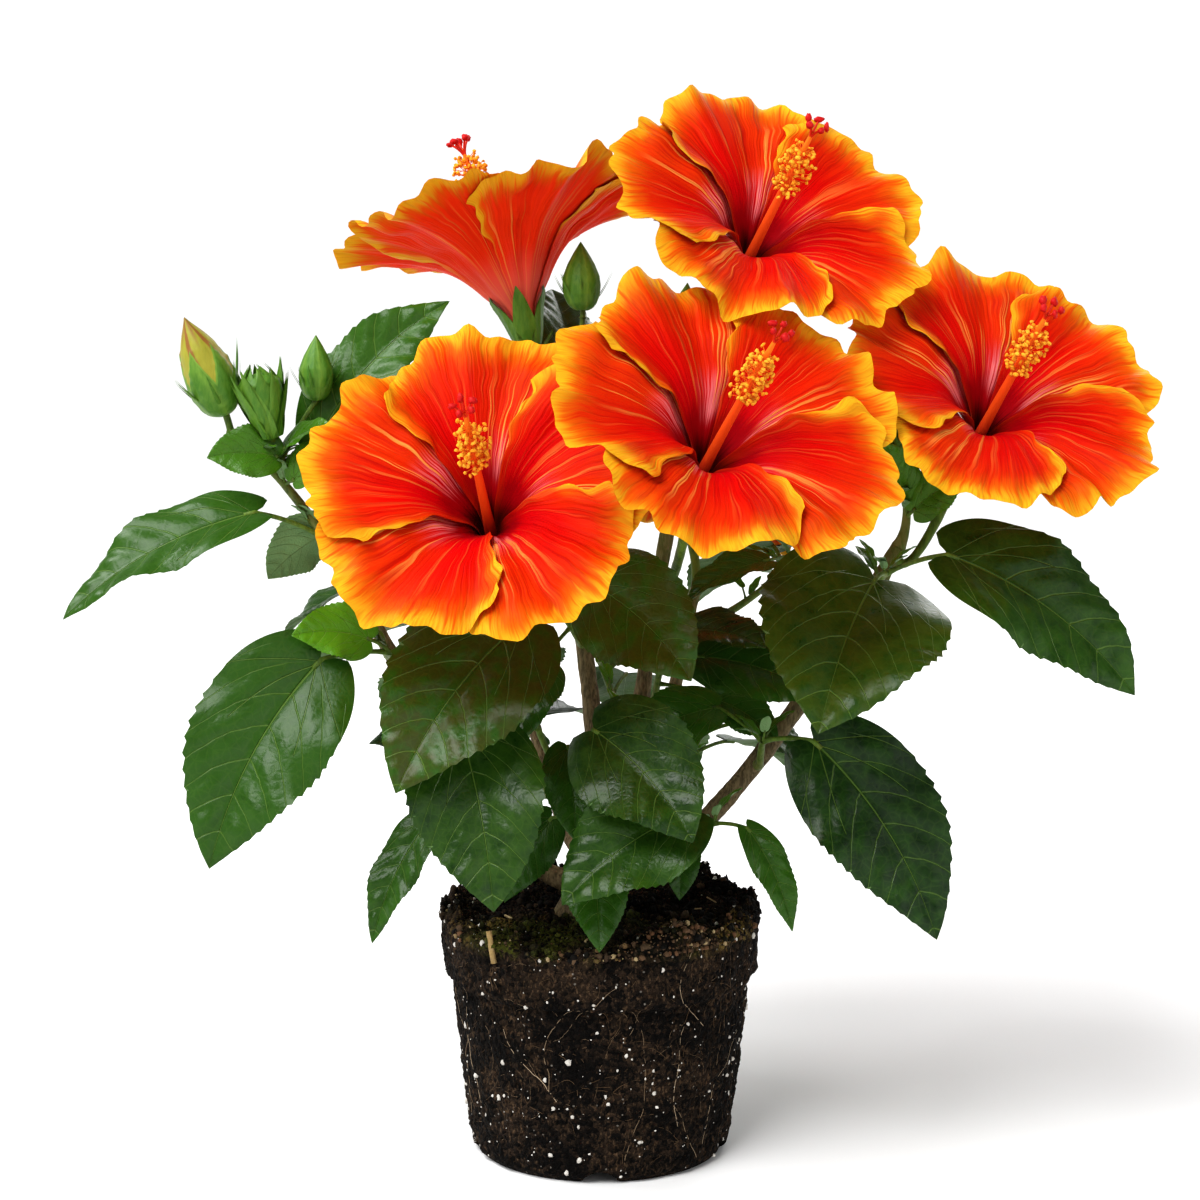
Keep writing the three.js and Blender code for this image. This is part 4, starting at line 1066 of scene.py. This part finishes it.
def blade(leaf, rows, half_columns, toothed, tint):
    """The middle surface of a leaf's blade, its normals, and each point's place in the flat blade."""
    at, ways = midrib(leaf)
    t = np.linspace(0.004, 1, rows)[:, None]
    v = np.linspace(-1, 1, 2 * half_columns + 1)
    out = np.abs(v)
    rim = out > 0.999
    stations = np.linspace(0, 1, LEAF_STEPS + 1)
    spine = np.hstack([np.interp(t, stations, column) for column in at.T])
    way = unit(np.hstack([np.interp(t, stations, column) for column in ways.T]))
    x, _, z = leaf["base"]
    face = leaf["face"] + 0.10 * np.sin(5 * t + x) * np.cross(leaf["face"], way)
    normal = unit(face - way * (face * way).sum(-1, keepdims=True))
    side = np.cross(way, normal)
    length = leaf["length"]
    tooth = ((t * TEETH) % 1.0) ** 1.5 - 0.4
    depth = TOOTH_DEPTH * smooth(t, 0.22, 0.42) * (1 - smooth(t, 0.88, 1.0)) * toothed
    wide = leaf_width(t)
    half = length * leaf["width"] / 2 * wide
    across = half * v * np.where(rim, half * (1 + depth * tooth) / np.maximum(half, 1e-6), 1)
    phase = 2 * np.pi * (t * 2.1 + x * 0.37 + z * 0.21) + np.sign(v) * 0.9
    wave = WAVE * length * out ** 2.5 * np.sin(phase) * wide * smooth(t, 0.1, 0.4)
    aside = np.abs(across) / length
    branch = SIDE_VEINS * (t - aside * (VEIN_LEAN + VEIN_BEND * aside)) + tint
    quilt = np.sin(np.pi * branch) ** 2 * smooth(out, 0.05, 0.35) * (1 - 0.6 * smooth(out, 0.7, 1.0))
    quilt = QUILT * length * quilt * smooth(t, 0.08, 0.22) * (1 - smooth(t, 0.8, 1.0))
    rise = np.abs(across) * math.sin(FOLD) * (1.25 - 0.55 * out) + wave + quilt
    back = LEAF_LOBE * length * out ** 1.2 * np.maximum(0, 1 - t / LEAF_WIDEST) * smooth(wide, -0.1, 0.35)
    reach = depth * 0.22 * tooth * half * rim
    middle = (spine[:, None] + side[:, None] * (across * math.cos(FOLD))[..., None]
              + normal[:, None] * rise[..., None] + way[:, None] * (reach - back)[..., None])
    facing = unit(np.cross(np.gradient(middle, axis=1), np.gradient(middle, axis=0)))
    facing = facing * np.sign((facing.mean((0, 1)) * normal.mean(0)).sum())
    return middle, facing, np.stack([across / length, t - back / length], -1)


def add_sheet(pieces, sheet, thick, at_edge, turned, place, tiles, plane, under=0.0, **marks):
    """Both skins of a thin sheet, closer together at its edges, each with a tile of its own."""
    middle, facing, flat = sheet
    rows, columns = middle.shape[:2]
    thin = np.ones((rows, columns))
    thin[:, 0] = thin[:, -1] = thin[-1] = at_edge
    u, w = np.meshgrid(np.linspace(0.03, 0.97, columns), np.linspace(0.03, 0.97, rows))
    for side, off in ((0, 0.5), (1, -0.5)):
        y, x = divmod(2 * place + side, tiles)
        tile = np.stack([(x + u) / tiles, (y + w) / tiles], -1)
        pieces.grid(middle + facing * (off * thick * thin)[..., None], flip=side == turned,
                    maps={plane: flat, "OFBake": tile}, under=mix(under, 1, side), **marks)


chance = np.random.default_rng(23)
for group, names in LEAF_GROUPS.items():
    blades = [(leaf, LEAF_ROWS, LEAF_HALF_COLUMNS, 1, LEAF_TINTS.get(name, {}).get(i, (0, 0, 0)))
              for name in names for i, leaf in enumerate(leaves[name])]
    blades += [(leaf, SPRIG_ROWS, SPRIG_HALF_COLUMNS, 0, (0, 0.75, 0))
               for name, leaf in sprigs if name in names]
    tiles = math.ceil(math.sqrt(2 * len(blades)))
    foliage = Gather()
    for i, (leaf, rows, half_columns, toothed, (bronze, young, turned)) in enumerate(blades):
        tint = chance.uniform(0, 1)
        young = young or 0.22 * chance.random() ** 2
        sheet = blade(leaf, rows, half_columns, toothed, tint)
        add_sheet(foliage, sheet, LEAF_THICK, LEAF_EDGE, 1, i, tiles, "blade", 0.85 * turned,
                  tint=tint, bronze=bronze, young=young)
    foliage.piece(group, leaf_finish, "foliage", *names)

# ---------------------------------------------------------------- buds
# A closed bud is a spindle of green sepals on its stalk, pressed edge to edge, with narrow bracts
# round its foot. The ripest shows yellow and red petals at its tip, and one is a tuft of small leaves.
BUD_ROWS = 46
BUD_COLUMNS = 40
BUD_BRACTS = 8
LEAFY_BRACTS = 27
BRACT_HALF = 0.24
RIPE_BUD = ("shoot_left_tip", 0)
LEAFY_BUD = ("shoot_left_tip", 1)
BUD_OUTLINE = ((0, 0.03, 0.1, 0.22, 0.36, 0.5, 0.68, 0.85, 1),
               (0.30, 0.55, 0.76, 0.94, 1.0, 0.95, 0.70, 0.36, 0.02))
LEAFY_OUTLINE = ((0, 0.1, 0.35, 0.65, 0.85, 0.95, 1), (0.2, 0.3, 0.58, 0.86, 0.84, 0.6, 0.02))
BUD_GREEN = (0.055, 0.165, 0.010, 1)
BUD_PALE = (0.19, 0.33, 0.040, 1)
BUD_YELLOW = (0.34, 0.30, 0.028, 1)
BUD_RED = (0.24, 0.075, 0.020, 1)

bud_finish, start, place = open_finish("bud_skin")
streak = grain(place, 800.0, upright=0.25)
seam, bare = mark(start, "seam"), mark(start, "petal")
tip_mark = ease(bare, 0.700, 0.722)
colour = coats(
    BUD_GREEN, (ease(streak, 0.35, 0.65) * 0.25 + 0.5 * seam, BUD_PALE),
    (tip_mark * (0.7 + 0.3 * streak), BUD_YELLOW),
    (tip_mark * ease(seam + 0.6 * streak, 0.55, 1.0) * 0.85, BUD_RED),
    (tip_mark * ease(bare, 1.0, 1.25) * 0.7, BUD_RED),
    (ease(bare, 0.655, 0.69) * (1 - tip_mark) * 0.6, BUD_PALE))
close_finish(start, colour, 0.42 + 0.15 * streak, streak * 0.4 + seam * 0.4, depth=0.0005, gloss=0.35)


def bract(pieces, foot, way, out, length, width, seam):
    """A narrow pointed leaf-like scale that leaves along way and bends outwards."""
    t = np.linspace(0, 1, 14)[:, None]
    v = np.linspace(-1, 1, 5)
    spine = foot + way * (t * length) + out * (0.35 * length * t ** 2)
    tangent = unit(np.gradient(spine, axis=0))
    side = unit(np.cross(tangent, out))
    half = width / 2 * (np.sin(np.pi * (0.18 + 0.82 * t) ** 0.8) ** 0.7 * (1 - t ** 6) + 0.02)
    normal = np.cross(side, tangent)[:, None]
    top = spine[:, None] + side[:, None] * (half * v)[..., None]
    top = top + normal * (0.25 * half * np.abs(v) ** 2)[..., None]
    for off, flip in ((BRACT_HALF, False), (-BRACT_HALF, True)):
        pieces.grid(top + normal * off, flip=flip, seam=seam, petal=0.0)


def axes_along(way):
    across = flatten(np.array([0, 0, 1.0]) if abs(way[2]) < 0.9 else np.array([1.0, 0, 0]), way)
    return across, np.cross(way, across)


def spoke(axes, turn):
    return axes[0] * math.cos(turn) + axes[1] * math.sin(turn)


bud_skins = Gather()
chance = np.random.default_rng(37)
for name, i, bud in [(name, i, bud) for name in SHOOTS for i, bud in enumerate(buds[name])]:
    ripe = float((name, i) == RIPE_BUD)
    leafy = (name, i) == LEAFY_BUD
    way, long, wide = bud["way"], bud["length"], bud["width"]
    axes = axes_along(way)
    t = np.linspace(0, 1, BUD_ROWS)[:, None]
    turn = circle(BUD_COLUMNS)
    swirl = turn + ripe * 0.9 * t
    outline = np.interp(t, *(LEAFY_OUTLINE if leafy else BUD_OUTLINE))
    outline = outline + ripe * 0.10 * np.sin(np.pi * smooth(t, 0.45, 1.0))
    seams = np.abs(np.cos(2.5 * swirl)) ** 10
    bare = ripe * (t + 0.36 * np.abs(1 - 2 * ((2.5 * turn / np.pi) % 1)))
    petal = smooth(bare, 0.69, 0.74)
    ribs = 1 - 0.07 * seams + 0.03 * np.cos(15 * swirl) * (1 - petal) - 0.10 * petal
    around = polar(wide / 2 * outline * ribs, turn, t * long)
    bud_skins.grid(bud["base"] + around @ np.stack([*axes, way]), closed=True, seam=seams, petal=bare)
    count = LEAFY_BRACTS if leafy else BUD_BRACTS
    for k in range(count):
        out = spoke(axes, 2 * np.pi * k / count + chance.uniform(-0.2, 0.2))
        foot = bud["base"] + way * long * 0.02 + out * wide * 0.14
        rise = unit(way * chance.uniform(0.8, 1.0) + out * (0.44 if leafy else 0.9))
        onward = way * 0.5 - out * (0.2 if leafy else 0.45)
        reach = long * chance.uniform(*((0.82, 1.04) if leafy else (0.5, 0.68)))
        if leafy and k % 3 == 1:       # these fold over the top
            foot = bud["base"] + way * long * 0.62 + out * wide * 0.40
            onward, reach = -out * chance.uniform(1.4, 2.0), 0.55 * reach
            rise = unit(way + out * 0.15)
        width = (10.0, 4.8, 4.8)[k % 3] if leafy else 1.7
        bract(bud_skins, foot, rise, onward, reach, width, chance.uniform(0, 0.5))
bud_skins.piece("buds", bud_finish, "foliage", *[name for name in SHOOTS if buds[name]])

# ---------------------------------------------------------------- blooms: petals
# Five broad petals overlap like a propeller round a dark throat. They are thin, ribbed by fanning
# veins and ruffled at the edge, scarlet inside with a golden margin, and paler on their backs.
PETAL_ROWS = 38
PETAL_COLUMNS = 63
PETAL_THICK = 0.45
PETAL_EDGE = 0.12
MOUTH = 2.6
CUPPING = 1.3
LIP = (1.3, 29)
SCALLOPS = ((0.022, 9, 0), (0.012, 21, 1), (0.009, 36, 2))       # size, how often, which phase
SIDE_RIPPLES = ((1.8, 17, 3), (1.1, 37, 1))
FRILLS = ((2.3, 12, 4), (1.3, 25, 5))
THROAT = (0.040, 0.0003, 0.0014, 1)
WINE = (0.33, 0.0008, 0.0055, 1)
CRIMSON = (0.53, 0.0013, 0.0040, 1)
PINK = (0.77, 0.24, 0.25, 1)
SCARLET = (0.565, 0.0032, 0.0012, 1)
VERMILION = (0.63, 0.046, 0.0022, 1)
ORANGE = (0.69, 0.150, 0.005, 1)
GOLD = (0.76, 0.41, 0.018, 1)
DARK_VEIN = (0.40, 0.0030, 0.0012, 1)
PALE_VEIN = (0.80, 0.39, 0.080, 1)
PETAL_BACK = (0.80, 0.036, 0.004, 1)
BACK_FOOT = (0.76, 0.14, 0.10, 1)

petal_finish, start, _ = open_finish("hibiscus_petal")
flat = start.node("UVMap", {"uv_map": "petal"})
v, s = part_of(flat, 0), part_of(flat, 1)
shift = mark(start, "number") * 3.7
edge, under = mark(start, "edge"), mark(start, "under")


def fan(aside, across, along, detail=2.0):
    """Noise drawn out along the veins: so many cells across the petal and along it."""
    spot = start.node("CombineXYZ", None, {0: aside * across + shift, 1: s * along, 2: shift})
    return grain(spot, 1.0, detail)


crooked = v + 0.09 * (fan(v, 3.0, 6.0, 1.0) - 0.5)
clouds = fan(crooked, 2.4, 2.4)
lines = fan(crooked, 23.0, 0.9, 1.0)
hairs = fan(crooked, 31.0, 1.7)
fibres = fan(crooked, 75.0, 3.0, 1.0)
warm_side = ease(clouds * 0.9 - v, 0.05, 1.15)
streaks = hairs * 0.7 + fibres * 0.3
torn = s + 0.24 * (streaks - 0.5) + 0.10 * (clouds - 0.5)
from_rim = edge + 14.0 * (clouds - 0.5) + 30.0 * (streaks - 0.5)
outer = 1 - ease(edge + 24.0 * (clouds - 0.5), 10.0, 34.0)
halo = ease(torn, 0.25, 0.34) * (1 - ease(s, 0.38, 0.58)) * ease(streaks, 0.42, 0.58)
pale_line = ease(lines + 0.2 * (fibres - 0.5), 0.57, 0.65) * ease(s, 0.30, 0.42)
pale_line = pale_line * (1 - ease(s, 0.62, 0.92))
margin = 1 - ease(from_rim, 0.5, 8.5)
dark_line = (1 - ease(streaks, 0.35, 0.53)) * ease(s, 0.40, 0.66)
inside = coats(
    THROAT, (ease(torn, 0.12, 0.255), WINE), (ease(torn, 0.27, 0.40), CRIMSON),
    (ease(torn, 0.42, 0.60), SCARLET), (warm_side * ease(torn, 0.38, 0.58) * 0.9, VERMILION),
    (outer * 0.55, VERMILION), ((1 - ease(from_rim, 5.0, 17.0)) * 0.85, ORANGE),
    (halo * ease(warm_side, 0.2, 0.8) * 0.9, PINK), (pale_line * (0.12 + 0.78 * warm_side), PALE_VEIN),
    (margin * 0.95, GOLD), (dark_line * (0.68 - 0.34 * margin), DARK_VEIN))
back = coats(
    BACK_FOOT, (ease(s, 0.14, 0.46), PETAL_BACK), ((1 - ease(from_rim, 6.0, 20.0)) * 0.75, ORANGE),
    (ease(lines, 0.55, 0.66) * (1 - ease(s, 0.6, 0.9)) * 0.38, PALE_VEIN),
    ((1 - ease(from_rim, 2.0, 11.0)) * 0.9, GOLD), (dark_line * 0.22, DARK_VEIN))
relief = (hairs * 0.8 + lines * 0.9 + fibres * 0.2) * ease(s, 0.2, 0.5)
close_finish(start, coats(inside, (under * 0.95, back)), 0.40 + 0.16 * hairs, relief, depth=0.0007,
             gloss=0.04, Subsurface_Weight=0.18, Subsurface_Radius=(0.006, 0.0012, 0.0006))


def ripples(kinds, at, phase):
    return sum(size * np.sin(often * at + phase[i]) for size, often, i in kinds)


def petal_rise(petal, phase, q, v):
    """How far a petal stands off the even trumpet, q of the way out and v of its half width."""
    twist = PETAL_TWIST * 0.75 * v * np.minimum(1, 2 * q)
    cup = -CUPPING * (1 - v ** 2) * np.sin(np.pi * np.minimum(q, 1))
    wave = RUFFLE * q ** 2.5 * np.sin(math.pi * WAVES * v + petal * WAVE_SHIFT)
    lip = LIP[0] * smooth(v, 0.7, 1) * q * (1 + np.sin(LIP[1] * q + phase[2]))
    return twist + cup + wave + q ** 5 * ripples(FRILLS, v, phase) + lip


def petal_sheet(spec, petal, phases):
    """One petal in its bloom's frame: points, normals, places in it and millimetres from its rim."""
    s = np.linspace(0, 1, PETAL_ROWS)[:, None]
    v = np.linspace(-1, 1, PETAL_COLUMNS)
    phase = phases[petal]
    scallop = ripples(SCALLOPS, v, phase) * smooth(s, 0.7, 1)
    reach = s * (1 - SHOULDER * np.abs(v) ** SHOULDER_POWER) * (1 + scallop)
    side_wave = ripples(SIDE_RIPPLES, s, phase) * smooth(np.abs(v), 0.7, 1) * smooth(s, 0.25, 0.6)
    turn = petal * 360 / PETALS + v * PETAL_HALF_ANGLE + side_wave
    below = (petal - 1) % PETALS
    over = (turn - (petal - 1) * 360 / PETALS) / PETAL_HALF_ANGLE
    gap = mix(3.2, 0.8, smooth(-v, 0.44, 1.0)) * np.minimum(1, 2.5 * reach) + 0.4
    tucked = petal_rise(below, phases[below], reach, np.minimum(over, 1.4)) - gap
    rise = mix(petal_rise(petal, phase, reach, v), tucked, smooth(-v, 0.12, 0.44))
    stations = np.linspace(0, 1, PETAL_STEPS + 1)
    line = np.stack(petal_profile(spec.get("open", PETAL_OPEN)), -1)
    r, h = (np.interp(reach, stations, column) for column in line.T)
    way_r, way_h = (np.interp(reach, stations, column) for column in unit(np.gradient(line, axis=0)).T)
    beyond = np.maximum(0, reach - 1) * PETAL_LENGTH
    r = r + beyond * way_r - rise * way_h
    r = r + MOUTH * smooth(reach, 0.12, 0.28) * (1 - smooth(reach, 0.3, 0.6))
    points = polar(r, np.radians(turn), h + beyond * way_h + rise * way_r + HEART)
    from_side = (1 - np.abs(v)) * r * math.radians(PETAL_HALF_ANGLE) * 2.2
    edge = np.minimum((1 - s) * PETAL_LENGTH, from_side + 20 * (1 - smooth(s, 0.40, 0.86)))
    facing = unit(np.cross(np.gradient(points, axis=0), np.gradient(points, axis=1)))
    facing = facing * np.sign(facing[PETAL_ROWS // 2, PETAL_COLUMNS // 2, 2])
    return points, facing, np.stack([v + 0 * s, s + 0 * v], -1), edge


for n, (name, spec) in enumerate(BLOOMS.items()):
    phases = np.random.default_rng(50 + n).uniform(0, 2 * np.pi, (PETALS, 6))
    bloom = Gather()
    for petal in range(PETALS):
        points, facing, flat, edge = petal_sheet(spec, petal, phases)
        sheet = in_bloom(spec, points), facing @ bloom_axes(spec).T * spec["size"], flat
        add_sheet(bloom, sheet, PETAL_THICK, PETAL_EDGE, 0, petal, 4, "petal", edge=edge,
                  number=petal + n * 0.618)
    bloom.piece("petals" + name[5:], petal_finish, "petals", name)

# ---------------------------------------------------------------- blooms: calyx
# Under the petals sits a green cup with five pointed lobes, and below it a ring of narrow bracts.
# Both are thin and a little fleshy, ribbed along their length, and paler between the lobes.
CUP_ROWS = 20
CUP_COLUMNS = 60
CUP_THICK = 0.5
CUP_FOOT = -2
CUP_DEPTH = 12.5                       # to the notches between the lobes
LOBE_DEPTH = 13.5
CUP_OUTLINE = ((-2, 0, 4, 8, 13, 18, 24), (2.0, 3.4, 5.3, 6.8, 8.0, 9.6, 12.2))
BRACTS = 7

calyxes = Gather()
chance = np.random.default_rng(71)
t = np.linspace(0, 1, CUP_ROWS)[:, None]
turn = circle(CUP_COLUMNS)
lobe = 1 - np.abs(1 - 2 * ((2.5 * turn / np.pi) % 1)) ** 0.9
up = CUP_FOOT + (CUP_DEPTH + LOBE_DEPTH * lobe - CUP_FOOT) * t
r = np.interp(up, *CUP_OUTLINE) * (1 + 0.02 * np.cos(15 * turn)) * (1 - 0.05 * (1 - lobe) * t)
for name, spec in BLOOMS.items():
    for off, flip in ((0.0, False), (CUP_THICK, True)):
        calyxes.grid(in_bloom(spec, polar(r - off, turn, up)), closed=True, flip=flip,
                     seam=0.5 * (1 - lobe), petal=0.0)
    axes = bloom_axes(spec)
    for k in range(BRACTS):
        out = spoke(axes.T, 2 * np.pi * k / BRACTS + chance.uniform(-0.2, 0.2))
        foot = in_bloom(spec, np.array([0, 0, -1.0])) + out * 2.4
        rise = unit(axes[:, 2] * chance.uniform(0.6, 0.9) + out * 0.8)
        bract(calyxes, foot, rise, out * 0.3, chance.uniform(10, 14), 2.4, 0.4)
calyxes.piece("calyxes", bud_finish, "foliage", *BLOOMS)

# ---------------------------------------------------------------- blooms: stamens
# The stamens are joined in one slender tube that stands far out of the throat. Its outer part is
# clothed in threads with golden pollen heads, and its tip forks into five stalks with red pads.
COLUMN_LENGTH = 78
COLUMN_FOOT = 8
COLUMN_STRAIGHT = 0.3
COLUMN_RADII = ((0, 0.06, 0.3, 0.6, 0.93, 1), (3.0, 2.5, 2.05, 1.7, 1.1, 0.7))
THREADS = 125
THREADS_ALONG = (0.68, 0.92)
THREAD_REACH = 7.8
THREAD_THICK = 0.2
HEAD_SIZE = 0.95
HEAD_SHAPE = (1.2, 0.85, 0.85)
PADS = 5
PAD_SIZE = 1.6
PAD_RISE = 7.4
PAD_OUT = 4.2
COLUMN_RED = (0.62, 0.008, 0.010, 1)
COLUMN_ORANGE = (0.84, 0.100, 0.012, 1)
POLLEN = (0.84, 0.27, 0.010, 1)
POLLEN_PALE = (0.93, 0.50, 0.050, 1)
PAD_RED = (0.52, 0.008, 0.008, 1)

column_finish, start, place = open_finish("stamen_tube")
streak = grain(place, 600.0, upright=0.4)
up = mark(start, "up")
colour = coats(COLUMN_RED, (ease(up + 0.2 * streak, 0.12, 0.5), COLUMN_ORANGE),
               (ease(up, 0.6, 1.3), POLLEN), (mark(start, "pad"), PAD_RED))
close_finish(start, colour, 0.42 + 0.15 * streak, streak, depth=0.0002, gloss=0.2)
pollen_finish, start, place = open_finish("pollen_heads")
dust = grain(place, 1500.0, 2.0, 0.7)
colour = coats(POLLEN, (ease(dust + 0.3 * mark(start, "ripe"), 0.35, 0.85), POLLEN_PALE))
close_finish(start, colour, 0.75 + 0.2 * dust, dust, depth=0.0004, gloss=0.15)

columns, heads = Gather(), Gather()
for n, (name, spec) in enumerate(BLOOMS.items()):
    chance = np.random.default_rng(90 + n)
    axis = aim(*spec["face"])
    length = COLUMN_LENGTH * spec["size"] * spec.get("longer", 1)
    foot = np.array(spec["calyx"]) + axis * COLUMN_FOOT
    knee = foot + axis * length * COLUMN_STRAIGHT
    end = knee + aim(*spec["column"]) * length * (1 - COLUMN_STRAIGHT)
    path, fine_path = bend(foot, knee, end, 60), bend(foot, knee, end, 201)
    shares = np.linspace(0, 1, 60)
    columns.tube(path, np.interp(shares, *COLUMN_RADII), 14, False, up=shares[:, None], pad=0.0)
    first, last = spec.get("pollen", THREADS_ALONG)
    for k in range(THREADS):
        share = mix(first, last, (k + chance.random()) / THREADS)
        step = int(share * 200)
        at = fine_path[step]
        way = unit(fine_path[min(200, step + 2)] - fine_path[step - 2])
        out = spoke(axes_along(way), math.radians(k * GOLDEN) + chance.uniform(-0.3, 0.3))
        crowd = math.sin(math.pi * (share - first) / (last - first))
        reach = THREAD_REACH * chance.uniform(0.42, 1.0) * (0.66 + 0.34 * crowd)
        tip = at + out * reach + way * reach * chance.uniform(-0.15, 0.55)
        line = bend(at, at + out * reach * 0.5 + way * 0.2, tip, 4)
        columns.tube(line, THREAD_THICK, 3, up=1.0, pad=0.0)
        sideways = unit(np.cross(out, chance.normal(size=3)))
        head_axes = np.stack([sideways, np.cross(out, sideways), out])
        heads.lump(tip + lump(HEAD_SIZE, chance, 5, 6) * HEAD_SHAPE @ head_axes, ripe=chance.random())
    fork, onward = path[-3], unit(path[-1] - path[-4])
    for k in range(PADS):
        out = spoke(axes_along(onward), 2 * np.pi * k / PADS + 0.4)
        tip = fork + onward * PAD_RISE + out * PAD_OUT
        line = bend(fork, fork + onward * 4.5 + out * 0.8, tip, 8)
        columns.tube(line, np.linspace(0.55, 0.42, 8), 7, up=0.2, pad=0.5)
        columns.lump(tip + lump(PAD_SIZE, chance, 8, 11), up=0.2, pad=1.0)
columns.piece("stamen_columns", column_finish, "petals", *BLOOMS)
heads.piece("pollen", pollen_finish, "petals", *BLOOMS)
